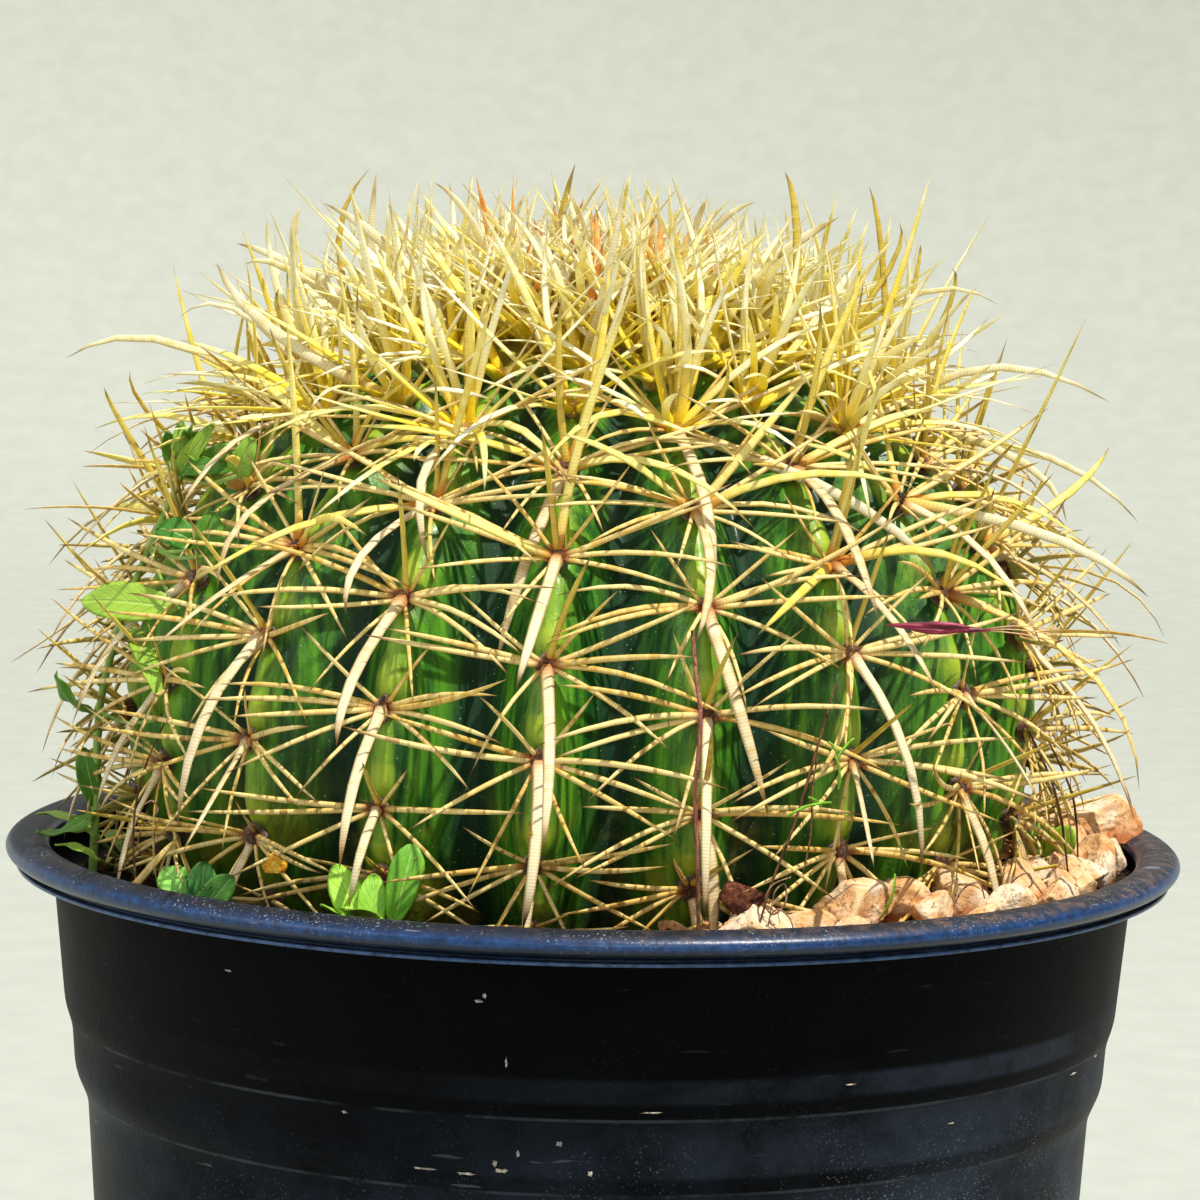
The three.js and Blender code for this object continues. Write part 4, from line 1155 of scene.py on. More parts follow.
# Each set of spines is one piece: which areoles bear it, its finish, and its own numbers, in the order
# of SET_COLUMNS. Angles are in degrees, lengths and widths in millimetres.
SET_COLUMNS = [
    "Pair", "Fan", "Fan spread", "Lift", "Lift spread", "Length", "Length spread", "Width", "Thickness",
    "Bend", "Bend spread", "Sway", "Chance", "Seed",
]
SPINE_SETS = [
    ("broad_lower_spines", "flank", broad_finish,
     1, 180, 16, 44, 7, 46, 0.1, 3.3, 0.3, -0.36, 0.05, 0.1, 0.9, 1),
    ("level_spines", "flank", side_finish,
     2, 87, 5, 25, 7, 41, 0.1, 1.35, 0.75, -0.12, 0.2, 0.16, 0.9, 2),
    ("upper_side_spines", "flank", side_finish,
     2, 76, 5, 26, 7, 37, 0.1, 1.25, 0.75, -0.12, 0.2, 0.16, 0.9, 3),
    ("lower_side_spines", "flank", side_finish,
     2, 97, 5, 24, 7, 39, 0.1, 1.25, 0.75, -0.14, 0.2, 0.16, 0.9, 4),
    ("slanting_spines", "flank", side_finish,
     2, 112, 8, 27, 7, 34, 0.1, 1.15, 0.75, -0.2, 0.18, 0.16, 0.9, 5),
    ("hanging_spines", "flank", side_finish,
     2, 150, 11, 34, 7, 27, 0.1, 1.0, 0.75, -0.28, 0.14, 0.1, 0.85, 6),
    ("upright_spines", "flank", golden_finish,
     1, 6, 16, 52, 7, 31, 0.22, 1.4, 0.7, 0, 0.04, 0.1, 0.7, 7),
    ("short_upper_spines", "flank", side_finish,
     2, 46, 14, 34, 7, 24, 0.1, 0.95, 0.6, 0, 0.05, 0.1, 0.9, 8),
    ("shoulder_upright_spines", "shoulder", shoulder_finish,
     1, 20, 30, 42, 16, 46, 0.15, 2.1, 0.4, 0, 0.2, 0.35, 0.9, 14),
    ("shoulder_arched_spines", "shoulder", shoulder_finish,
     2, 96, 24, 40, 14, 50, 0.15, 2.1, 0.3, -0.3, 0.16, 0.3, 0.75, 15),
    ("crown_upright_spines", "crown", crown_finish,
     4, 5, 46, 56, 20, 45, 0.2, 2.1, 0.35, 0, 0.25, 0.35, 0.9, 9),
    ("crown_lower_spines", "crown", crown_finish,
     3, 168, 34, 44, 16, 44, 0.15, 2.0, 0.3, -0.15, 0.2, 0.35, 0.9, 10),
    ("crown_level_spines", "crown", crown_finish,
     2, 80, 22, 36, 14, 44, 0.15, 2.1, 0.3, -0.08, 0.22, 0.35, 0.9, 11),
    ("crown_slanting_spines", "crown", crown_finish,
     2, 125, 20, 38, 14, 42, 0.15, 2.0, 0.3, -0.15, 0.2, 0.3, 0.9, 12),
    ("crown_inner_spines", "crown", crown_finish,
     3, 35, 24, 50, 18, 38, 0.2, 2.0, 0.35, 0, 0.2, 0.3, 0.9, 13),
    ("young_spines", "youngest", young_finish,
     2, 20, 60, 64, 18, 26, 0.3, 2.2, 0.5, 0, 0.15, 0.2, 0.9, 16),
]
# The latitudes between which each kind of areole lies.
REGIONS = {"flank": (-90, 50), "shoulder": (26, 50), "crown": (48, 90), "youngest": (72, 90)}

# Blades that stand out from the rest, by the rib and number of their areole: the tip, how far the
# middle bows away from the straight line (both in millimetres), and the width.
PLACED_SPINES = {
    "pale": [
        (-5, 5, (-123, 3, 335), (-3, -4, 10), 1.9), (-2, 6, (-84, -50, 359), (-7, -5, 0), 2.7),
        (-6, 7, (-85, 12, 362), (-4, -4, 5), 2.3), (-4, 7, (-80, -26, 358), (-4, -4, 8), 1.8),
        (-4, 6, (-67, -24, 372), (-4, -4, 7), 1.6), (-5, 6, (-52, -5, 379), (-1, -4, 2), 2.1),
        (-3, 7, (-62, -31, 372), (1, -4, 4), 2.7), (-3, 8, (-38, -26, 377), (0, -4, 6), 1.8),
        (-8, 9, (-33, 3, 377), (0, -4, 3), 2.3), (-5, 8, (-18, -15, 375), (-1, -4, 4), 1.8),
        (0, 7, (4, -58, 379), (1, -4, -1), 1.8), (7, 9, (10, -12, 373), (0, -4, 1), 2.1),
        (7, 8, (23, -5, 375), (1, -4, 3), 2.3), (7, 8, (34, -3, 374), (0, -4, 6), 2.1),
        (6, 9, (53, -4, 371), (2, -4, 3), 2.7), (5, 6, (89, -11, 352), (2, -4, 10), 1.4),
        (5, 5, (116, -3, 330), (-2, -3, 10), 1.9), (6, 5, (126, 19, 301), (5, -4, 7), 1.7),
        (5, 5, (106, -10, 303), (9, -5, 3), 1.9), (3, 4, (119, -59, 291), (6, -4, 3), 2.3),
        (1, 5, (72, -72, 296), (9, -4, 1), 2.5), (-4, 6, (-94, -31, 346), (-2, -4, 10), 1.2),
        (5, 5, (31, -13, 330), (10, -4, 5), 2.7), (7, 5, (-14, 43, 329), (3, -5, -9), 2.3),
    ],
    "golden": [
        (-5, 6, (-54, 6, 380), (-8, 0, 3), 1.5), (-5, 9, (-7, -5, 382), (-2, 0, 0), 2.2),
        (4, 7, (40, -13, 381), (2, 0, 7), 2.0), (5, 5, (60, 3, 378), (1, 0, 8), 1.5),
        (5, 6, (67, 1, 370), (7, 0, 5), 1.3), (5, 5, (72, 2, 365), (2, 0, 9), 1.1),
        (5, 5, (79, -2, 360), (6, 0, 7), 1.3), (3, 3, (97, -65, 318), (1, 0, 1), 1.3),
        (3, 3, (77, -74, 309), (0, 0, 1), 1.1), (-4, 4, (-111, -24, 330), (-4, 0, 5), 1.3),
        (-5, 4, (-108, 1, 333), (-6, -1, 2), 1.1), (1, 5, (26, -81, 342), (4, 0, -1), 1.3),
        (2, 5, (46, -66, 354), (2, 0, 1), 1.5), (8, 6, (17, 43, 358), (2, 0, 2), 1.7),
        (2, 8, (9, -40, 363), (2, 0, -1), 1.3), (0, 5, (-9, -81, 354), (-1, 0, 0), 1.7),
        (4, 5, (71, -36, 344), (1, 0, 3), 1.1), (2, 4, (54, -88, 326), (1, 0, 3), 1.3),
        (-2, 5, (-71, -67, 346), (-3, 0, 1), 1.3), (-2, 5, (-39, -72, 336), (-2, 0, 2), 1.3),
        (-4, 6, (-72, -26, 353), (-4, 0, 4), 1.3),
    ],
    "straw": [
        (3, 3, (117, -69, 250), (10, -4, 5), 2.3), (5, 3, (129, -12, 277), (5, -3, 6), 1.5),
        (4, 3, (125, -50, 280), (2, -3, 2), 1.5), (4, 2, (113, -57, 249), (2, -3, 1), 1.5),
        (2, 3, (44, -103, 254), (3, -3, -1), 1.5), (3, 1, (82, -87, 233), (0, -3, 0), 1.5),
        (-5, 4, (-118, -6, 311), (-3, -3, 1), 1.5), (-5, 5, (-118, 3, 313), (-2, -3, 5), 1.5),
        (-4, 4, (-128, -32, 303), (0, -3, 2), 1.5), (-5, 3, (-136, 6, 264), (-1, -3, -1), 1.5),
        (-4, 2, (-120, -40, 244), (-2, -3, 5), 1.5),
    ],
    "broad": [
        (2, 4, (70, -110, 275), (1, -7, 3), 2.4), (2, 3, (69, -92, 234), (4, -7, 3), 2.6),
        (3, 2, (93, -100, 251), (0, -7, 2), 2.1), (2, 2, (57, -123, 241), (0, -7, 0), 2.1),
        (-2, 5, (-80, -83, 291), (-7, -7, 3), 2.4), (-2, 4, (-92, -100, 280), (0, -7, 2), 2.1),
        (-2, 3, (-87, -93, 242), (-3, -7, 4), 3.4), (-2, 2, (-85, -106, 238), (1, -7, 2), 2.4),
        (-1, 3, (-52, -125, 264), (-3, -7, 0), 2.9), (-1, 4, (-51, -117, 290), (-5, -7, 2), 2.4),
        (-1, 2, (-51, -126, 239), (-1, -7, 3), 2.9), (-1, 1, (-50, -109, 228), (0, -7, 3), 2.4),
        (-1, 5, (-35, -102, 299), (-5, -7, 5), 2.4), (0, 5, (-21, -93, 277), (-1, -7, 2), 2.6),
        (0, 4, (-16, -130, 277), (0, -7, 1), 2.6), (0, 3, (-10, -133, 245), (1, -7, 0), 2.6),
        (0, 2, (-14, -119, 226), (1, -7, 0), 2.6), (1, 5, (24, -98, 294), (2, -7, 3), 2.9),
        (1, 4, (20, -121, 286), (3, -7, 2), 2.4), (1, 3, (36, -107, 249), (0, -7, 2), 2.9),
        (1, 2, (23, -118, 228), (0, -7, 1), 2.4),
    ],
}
placed_finish = {"pale": pale_finish, "golden": golden_finish, "straw": side_finish, "broad": broad_finish}
own_blade = {(rib, number) for rib, number, *_ in PLACED_SPINES["broad"]}
for name, region, finish, *numbers in SPINE_SETS:
    sizes = {**FLANK_SPINES, "Finish": finish}
    for key, number in zip(SET_COLUMNS, numbers):
        sizes[key] = number * MM if key in ("Length", "Width") else type(FLANK_SPINES[key])(number)
    low, high = REGIONS[region]
    chosen = [a for a in areoles if low <= a["latitude"] < high]
    if name == "broad_lower_spines":
        chosen = [a for a in chosen if (a["rib"], a["number"]) not in own_blade]
    ring = grown(areole_points("spine_points", chosen), spine_tree, name, sizes)
    finished(ring, finish, "spine")

PLACED_SIZES = {"Thickness": 0.35, "Blade": spine_blade, "Finish": broad_finish}
placed_tree, points, given = open_tree("place_spines", PLACED_SIZES)
placed = store(points, "root", position(placed_tree), "FLOAT_VECTOR")
close_tree(placed_tree, blades_on(placed, given), given["Finish"])


def placed_spines(name, rows, finish, seed):
    """One piece of spines, each row with its root, tip, bow, width and outward direction."""
    draw = make_draw(seed)
    ways, drops, acrosses, reaches = [], [], [], []
    for root, tip, bow, width, out in rows:
        reach = (tip - root).length
        drop = bow * (-4 / reach)
        way = (tip - root) / reach - drop
        ways.append(way)
        drops.append(drop)
        acrosses.append((tip - root).cross(out).normalized())
        reaches.append(reach)
    host = seed_points(
        "placed_points", [row[0] for row in rows], way=ways, drop=drops, across=acrosses, reach=reaches,
        broad=[row[3] for row in rows], tone=[draw(0, 1) for _ in rows],
    )
    made = grown(host, placed_tree, name, {**PLACED_SIZES, "Finish": finish})
    return finished(made, finish, "spine")


# The blades over the crown show their broad side to the front.
TO_FRONT = Vector((0, -1, 0.15))
ROOT_IN_FELT = 0.2
for number, (kind, table) in enumerate(PLACED_SPINES.items()):
    rows = []
    for rib, count, tip, bow, width in table:
        areole = next(a for a in areoles if (a["rib"], a["number"]) == (rib, count))
        root = areole["place"] + areole["out"] * AREOLE_TOP * ROOT_IN_FELT
        faced = TO_FRONT if kind in ("pale", "golden") else areole["out"]
        rows.append((root, Vector(tip) * MM, Vector(bow) * MM, width * MM, faced))
    placed_spines(f"standing_{kind}_spines", rows, placed_finish[kind], 70 + number)

# Fine wool between the bases of the spines.
GOLDEN_WOOL = (0.3, 0.33)
HAIR_TURNS = (0.0, 2.1, 4.2)
HAIR_STATIONS = ((0.0, 1.0), (0.5, 0.8))
hair_rings = [
    [Vector((math.cos(turn) / 2 * wide, math.sin(turn) / 2 * wide, t)) for turn in HAIR_TURNS]
    for t, wide in HAIR_STATIONS
]
wool_hair = keep_section(ring_skin("wool_hair", hair_rings, end=Vector((0, 0, 1))))
wool_finish = new_finish("areole_wool", {"Roughness": 0.9, "Specular IOR Level": 0.1})
wool_shade = fade(part_of(object_place(wool_finish), 2), *GOLDEN_WOOL)
painted(wool_finish, blended("#8a6238", "#e3c069", wool_shade), 0.9)
wool_sizes = {
    "Pair": 10, "Fan": 38.0, "Fan spread": 20.0, "Lift": 34.0, "Lift spread": 24.0, "Length": 3.4 * MM,
    "Length spread": 0.4, "Width": 0.17 * MM, "Thickness": 1.0, "Bend": -0.1, "Bend spread": 0.3,
    "Sway": 0.6, "Seed": 17, "Blade": wool_hair, "Finish": wool_finish,
}
wool = grown(areole_points("wool_points", areoles), spine_tree, "areole_wool", {**FLANK_SPINES, **wool_sizes})
finished(wool, wool_finish, "spine")
for shape in (felt_pad, wool_hair, areole_marks):
    bpy.data.objects.remove(shape)


# ---------- The gravel stones ----------
# Chips of pale, porous rock as big as a thumbnail, broken by chance, lie loose inside the rim on the
# right, with smaller ones in the gaps between them. Their tops are bleached and their fresh breaks
# orange-brown; their undersides are painted darker orange-brown as shade.

# Azimuth and distance from the axis; length, width and height; turn; and lift above the bed.
STONES = [
    (97, 113, 21, 15, 11, 8, 2), (60.5, 107.5, 16, 11, 10, 12, 0), (47, 106.5, 13, 12, 11, -20, 0),
    (31.5, 106, 17, 12, 11, 4, 0), (39, 114, 11, 9, 9, 30, 0), (50.5, 116.5, 13, 7, 8, 0, 0),
    (59.5, 117.5, 14, 6.5, 8, 2, 0), (72, 114.5, 14, 10, 9, -12, 0), (84, 115.5, 12, 10, 9.5, 20, 0),
    (93, 102.5, 9, 8, 8, 0, 0), (73, 103, 10, 8, 7, 35, 0), (17, 116, 15, 10, 9, 5, 0),
    (110.5, 106.5, 14, 12, 10, -14, 0), (112, 117, 12, 7, 8, 0, 0), (122, 111, 15, 13, 10, 22, 0),
    (134, 108, 12, 11, 8, -30, 0), (146, 112, 13, 10, 8, 10, 0),
]
STONE_FLAT = 0.62
STONE_BREAKS = 9
BREAK_DEPTHS = (0.5, 0.84)
BREAK_REACH = 0.3
STONE_EXTRA = (1.14, 1.12, 1.3)


def broken_rock(name, seed, size, turn, place):
    """A rock with flat breaks and rough skin that fills a box of this size, flat underneath."""
    draw = make_draw(seed)
    breaks = []
    for _ in range(STONE_BREAKS):
        way = Vector((draw(-1, 1), draw(-1, 1), draw(-1, 1))).normalized()
        breaks.append((way, draw(*BREAK_DEPTHS)))
    shape = bmesh.new()
    bmesh.ops.create_icosphere(shape, subdivisions=5, radius=1)
    for vertex in shape.verts:
        way = vertex.co.normalized()
        facing = [(way.dot(cut), depth) for cut, depth in breaks]
        reach = min([1.0] + [depth / toward for toward, depth in facing if toward > BREAK_REACH])
        rough = 0.04 * lumpy(way, 0.5, seed) + 0.035 * lumpy(way, 0.2, seed) + 0.025 * lumpy(way, 0.08)
        vertex.co = way * (reach + rough)
    spans = [max(abs(vertex.co[axis]) for vertex in shape.verts) for axis in range(3)]
    heights = []
    turned_by = Matrix.Rotation(math.radians(turn), 3, "Z")
    for vertex in shape.verts:
        vertex.co = Vector(vertex.co[axis] / spans[axis] for axis in range(3))
        vertex.co.z = max(vertex.co.z, -STONE_FLAT)
        heights.append(vertex.co.z)
        half = Vector(vertex.co[axis] * size[axis] / 2 for axis in range(3))
        vertex.co = turned_by @ half + place
    mesh = bpy.data.meshes.new(name)
    shape.to_mesh(mesh)
    shape.free()
    mesh.attributes.new("upper", "FLOAT", "POINT").data.foreach_set("value", heights)
    mesh.shade_smooth()
    rock = bpy.data.objects.new(name, mesh)
    bpy.context.scene.collection.objects.link(rock)
    return rock


def rock_finish(name, *ramp):
    """Porous pale rock: a colour ramp of its lumps, painted orange-brown shade below, chalky patches and dark
    pores.
    """
    finish = new_finish(name, {"Specular IOR Level": 0.2})
    place = object_place(finish)
    lumps = grain(place, 190.0, 5.0, 0.65)
    tint = shades(lumps, *ramp)
    # Painted shade: darker orange-brown towards the underside.
    below = 1.0 - fade(mark(finish, "upper") + lumps * 0.6, -0.15, 0.55)
    tint = blended(tint, "#b5622a", below * 0.85)
    chalk = fade(grain(place, 75.0, 3.0), 0.54, 0.64)
    tint = blended(tint, "#f3e6d0", chalk * 0.6)
    pores = fade(grain(place, 900.0, 3.0, 0.6), 0.62, 0.7)
    tint = blended(tint, "#7d5534", pores * 0.6)
    relief = lumps * 0.6 + grain(place, 800.0, 3.0, 0.6) * 0.4 - pores * 0.3
    return painted(finish, tint, 0.75 + lumps * 0.2, relief, 1.0 * MM)


stone_finish = rock_finish(
    "pale_gravel_stone", (0.25, "#b27440"), (0.42, "#d49f68"), (0.56, "#e6be90"), (0.75, "#f0d8b6"),
)
# The smaller ones in the gaps, and a block that leans on the rim at the far right.
SMALL_STONES = [
    (23.5, 112.5, 12, 8, 7, 10, 0), (39, 104.5, 12, 9, 10, -25, 0), (78, 107.5, 9, 7, 7, 15, 0),
    (66, 101, 8, 7, 6, 40, 0), (103, 103, 9, 8, 7, 5, 0), (54, 101.5, 8, 6, 6, -10, 0),
    (88.5, 109, 7, 6, 7, 30, 0), (24, 105, 8, 6, 6, 0, 0), (120, 101, 9, 8, 8, 20, 0),
    (10.5, 116.5, 9, 7, 4, 12, 0), (4, 115.5, 7, 6, 3, -12, 0), (128, 117, 8, 7, 7, 0, 0),
    (66.5, 113, 8, 7, 8, 8, 0), (91, 110.5, 8, 7, 12, 20, 0), (105, 110, 9, 8, 12, 0, 0),
    (97, 118.5, 17, 20, 11, 0, 4.5), (112, 118.5, 12, 8, 8, 0, 4), (78, 118, 10, 5, 8, 0, 0),
    (66.5, 118.5, 9, 5, 7, 0, 0), (44, 119, 10, 5, 6, 0, 0), (27, 117.5, 9, 6, 7, 0, 0),
    (84, 108, 9, 8, 9, 40, 0), (98.5, 106, 10, 9, 9, 15, 0), (88, 119.8, 12, 6, 9, 0, 0),
]
for number, (azimuth, distance, length, width, height, turn, lift) in enumerate(STONES + SMALL_STONES, 1):
    size = Vector((length * STONE_EXTRA[0], width * STONE_EXTRA[1], height * STONE_EXTRA[2])) * MM
    bed = soil_height(azimuth) + (0.35 + lift) * MM + STONE_FLAT * size.z / 2
    place = around(azimuth, distance * MM, bed)
    if number <= len(STONES):
        rock = broken_rock(f"gravel_stone_{number:02d}", 500 + number, size, azimuth + turn, place)
        finished(rock, stone_finish, "stone", f"stone_{number:02d}")
    else:
        small = number - len(STONES)
        rock = broken_rock(f"small_stone_{small:02d}", 500 + number, size, azimuth + turn, place)
        finished(rock, stone_finish, "stone")


# ---------- The fine gravel and the soil crumbs ----------
# Between the stones lie smaller chips of the same rock, and everywhere on the soil there are loose
# clods, bark crumbs and a few pale grains. They are strewn over the top of the soil by rule.

CHIP_CORNERS = 16
LEAST_FACING_UP = 0.5
LOWEST_STREWN = SOIL_LEVEL - 5 * MM
INSIDE_WALL = 119 * MM
FULL_TURNS = (6.283, 6.283, 6.283)


def chip_shapes(name, seed, count, squash):
    """A collection of a few chipped shapes of radius 1, each the hull of some scattered corners."""
    draw = make_draw(seed)
    shapes = bpy.data.collections.new(name)
    for number in range(count):
        shape = bmesh.new()
        for _ in range(CHIP_CORNERS):
            way = Vector((draw(-1, 1), draw(-1, 1), draw(-1, 1))).normalized()
            shape.verts.new(way * draw(0.8, 1.0) * Vector((1, draw(0.8, 1), squash)))
        hull = bmesh.ops.convex_hull(shape, input=shape.verts)
        bmesh.ops.delete(shape, geom=list(hull["geom_interior"]), context="VERTS")
        mesh = bpy.data.meshes.new(f"{name}_{number}")
        shape.to_mesh(mesh)
        shape.free()
        shapes.objects.link(bpy.data.objects.new(mesh.name, mesh))
    return shapes


gravel_chips = chip_shapes("gravel_chips", 31, 5, 0.7)
crumb_chips = chip_shapes("crumb_chips", 32, 4, 0.75)
chip_finish = rock_finish(
    "fine_gravel", (0.25, "#b06c30"), (0.42, "#dda46c"), (0.58, "#f0cb9a"), (0.75, "#f8e0ba"),
)
crumb_finish = new_finish("soil_crumbs", {"Specular IOR Level": 0.2})
place = object_place(crumb_finish)
crumb_shade = grain(place, 160.0, 4.0, 0.7)
crumb_tint = shades(crumb_shade, (0.3, "#120a06"), (0.5, "#3a2416"), (0.64, "#6a4a32"), (0.78, "#b39273"))
painted(crumb_finish, crumb_tint, 0.9, grain(place, 1500.0, 3.0), 0.4 * MM)

STREWN = {
    "Ground": soil, "Chips": gravel_chips, "Density": 60000.0, "From azimuth": -4.0, "To azimuth": 168.0,
    "Inner radius": 80 * MM, "Outer radius": INSIDE_WALL, "Least size": 0.8 * MM, "Most size": 3.8 * MM,
    "Rarity": 2.0, "Seed": 5, "Finish": chip_finish,
}
strewn_tree, _, given = open_tree("strew_on_soil", STREWN)
ground = shape_of(strewn_tree, given["Ground"])
spot = position(strewn_tree)
radius = maths("LENGTH", spot * (1.0, 1.0, 0.0))
turn = maths("DEGREES", maths("ARCTAN2", part_of(spot, 0), part_of(spot, 1) * -1.0))
middle_turn = (given["From azimuth"] + given["To azimuth"]) * 0.5
within = maths("LESS_THAN", maths("ABSOLUTE", turn - middle_turn), given["To azimuth"] - middle_turn)
within = within * maths("GREATER_THAN", radius, given["Inner radius"])
within = within * maths("LESS_THAN", radius, given["Outer radius"])
facing_up = part_of(add_node(strewn_tree, "GeometryNodeInputNormal", {}), 2)
within = within * maths("GREATER_THAN", facing_up, LEAST_FACING_UP)
within = within * maths("GREATER_THAN", part_of(spot, 2), LOWEST_STREWN)
spots = add_node(
    strewn_tree, "GeometryNodeDistributePointsOnFaces",
    {"Mesh": ground, "Selection": within, "Density": given["Density"], "Seed": given["Seed"]}, "Points",
)
rarity = chance(strewn_tree, 0.0, 1.0, given["Seed"] + 1) ** given["Rarity"]
size = given["Least size"] + (given["Most size"] - given["Least size"]) * rarity
tumble = add_node(
    strewn_tree, "FunctionNodeRandomValue",
    {"Min": (0.0, 0.0, 0.0), "Max": FULL_TURNS, "Seed": given["Seed"] + 2},
    data_type="FLOAT_VECTOR",
)
chips = add_node(
    strewn_tree, "GeometryNodeCollectionInfo",
    {"Collection": given["Chips"], "Separate Children": True, "Reset Children": True},
)
pieces = add_node(
    strewn_tree, "GeometryNodeInstanceOnPoints",
    {"Points": spots, "Instance": chips, "Pick Instance": True, "Rotation": tumble, "Scale": size},
)
close_tree(strewn_tree, pieces, given["Finish"], smooth=False)
CRUMBS = {
    "Chips": crumb_chips, "Density": 90000.0, "From azimuth": -181.0, "To azimuth": 181.0,
    "Least size": 0.5 * MM, "Most size": 2.4 * MM, "Rarity": 3.0, "Seed": 11, "Finish": crumb_finish,
}
for name, slot, sizes in [("fine_gravel", "stone", STREWN), ("soil_crumbs", "soil", {**STREWN, **CRUMBS})]:
    bits = grown(seed_points("strewn_host", [(0, 0, 0)]), strewn_tree, name, sizes)
    finished(bits, sizes["Finish"], slot)
for chips in (gravel_chips, crumb_chips):
    for chip in list(chips.objects):
        bpy.data.objects.remove(chip)


# ---------- The weeds ----------
# Five small weeds have come up in the soil: a tall one on the left that climbs through the spines, a
# round-leaved and a lobed seedling in front, one under the rim and one in the gravel. Soft green leaf.

LEAF_FOLD = 0.25
LEAF_HALF_COLUMNS = 5
LEAF_ROWS = 14
LEAF_THICKNESS = 0.28 * MM
MIDRIB_ABOVE, MIDRIB_BELOW = 0.12 * MM, 0.16 * MM
LEAF_END = 0.06
RIPPLES, RIPPLE_SLANT = 14, 0.6
STEM_TAPER = 0.35
STEM_TONE = 0.35
ROOT_DEPTH = 6
STALK_RADIUS = 0.5 * MM
STALK_SAG = 1.5 * MM
STALK_TONE = 0.4
LEAF_BLUNT = 0.55


def on_soil(x, y, up):
    """A point given in millimetres, its height counted from the soil below it."""
    azimuth = math.degrees(math.atan2(x, -y))
    return Vector((x * MM, y * MM, soil_height(azimuth) + up * MM))


def curve_through(points, steps):
    """A smooth line through the points (Catmull-Rom), with so many steps between two of them."""
    line = []
    padded = [points[0], *points, points[-1]]
    for a, b, c, d in zip(padded, padded[1:], padded[2:], padded[3:]):
        for i in range(steps):
            t = i / steps
            line.append(0.5 * (
                2 * b + (c - a) * t + (2 * a - 5 * b + 4 * c - d) * t * t
                + (3 * b - a - 3 * c + d) * t ** 3
            ))
    return line + [points[-1]]


def tube(line, radii, sides=7):
    """The points and faces of a tube along a line, with a radius at each of its points."""
    rings = []
    side = Vector((0, 1, 0.1))
    for i, point in enumerate(line):
        ahead = (line[min(i + 1, len(line) - 1)] - line[max(i - 1, 0)]).normalized()
        side = (side - ahead * side.dot(ahead)).normalized()
        across = ahead.cross(side)
        ring = []
        for k in range(sides):
            turn = 2 * math.pi * k / sides
            ring.append(point + (side * math.cos(turn) + across * math.sin(turn)) * radii[i])
        rings.append(ring)
    return ring_faces(rings, line[0], line[-1])


def leaf_skin(root, tip, width, sag, belly, curl, wave, seed, faced=None, blunt=0.8):
    """Points, faces and two marks of a thin leaf: how far along it, and how far from its midrib.

    It faces up, or the way it is told to, and a lower blunt value makes its ends rounder.
    """
    axis = tip - root
    side = axis.cross(faced or Vector((0, 0, 1))).normalized()
    face = side.cross(axis).normalized()
    rings, along, across = [], [], []
    for row in range(LEAF_ROWS):
        t = 0.03 + 0.94 * row / (LEAF_ROWS - 1)
        spread = t / belly if t < belly else (1 - t) / (1 - belly)
        half = width / 2 * max(math.sin(math.pi / 2 * spread), 0.0) ** blunt
        half = max(half, width * LEAF_END)
        centre = root + axis * t + face * (sag * 4 * t * (1 - t)) - face * (curl * t ** 3)
        top, bottom = [], []
        for column in range(-LEAF_HALF_COLUMNS, LEAF_HALF_COLUMNS + 1):
            s = column / LEAF_HALF_COLUMNS
            ripple = wave * math.sin(t * RIPPLES + seed + column * RIPPLE_SLANT) * abs(s)
            lifted = half * LEAF_FOLD * s * s * (1 - abs(s) * 0.5) + ripple
            point = centre + side * (s * half) + face * lifted
            thickness = LEAF_THICKNESS * (1 - s * s) ** 0.5 + MIDRIB_ABOVE * (1 - abs(s)) ** 4
            top.append(point + face * thickness / 2)
            bottom.append(point - face * (thickness / 2 + MIDRIB_BELOW * (1 - abs(s)) ** 6))
        rings.append(top + bottom[-2:0:-1])
        shares = [c / LEAF_HALF_COLUMNS for c in range(-LEAF_HALF_COLUMNS, LEAF_HALF_COLUMNS + 1)]
        along += [t] * len(rings[-1])
        across += shares + shares[-2:0:-1]
    points, faces = ring_faces(rings, root, tip)
    return points, faces, along + [0, 1], across + [0, 0]


def toned(skin, tone):
    """The same skin with its tone as a third mark; what isn't a leaf has no place on one."""
    points, faces, *shares = skin
    along, across = shares or ([0.0] * len(points),) * 2
    return points, faces, {"along": along, "across": across, "tone": [tone] * len(points)}


def gathered(name, skins):
    """One object from several skins: each has its points and faces, and toned ones their marks."""
    points, faces, marks = [], [], {}
    for more_points, more_faces, *more_marks in skins:
        faces += [tuple(i + len(points) for i in face) for face in more_faces]
        points += more_points
        for key, values in (more_marks[0] if more_marks else {}).items():
            marks.setdefault(key, []).extend(values)
    return new_object(name, points, faces, **marks)


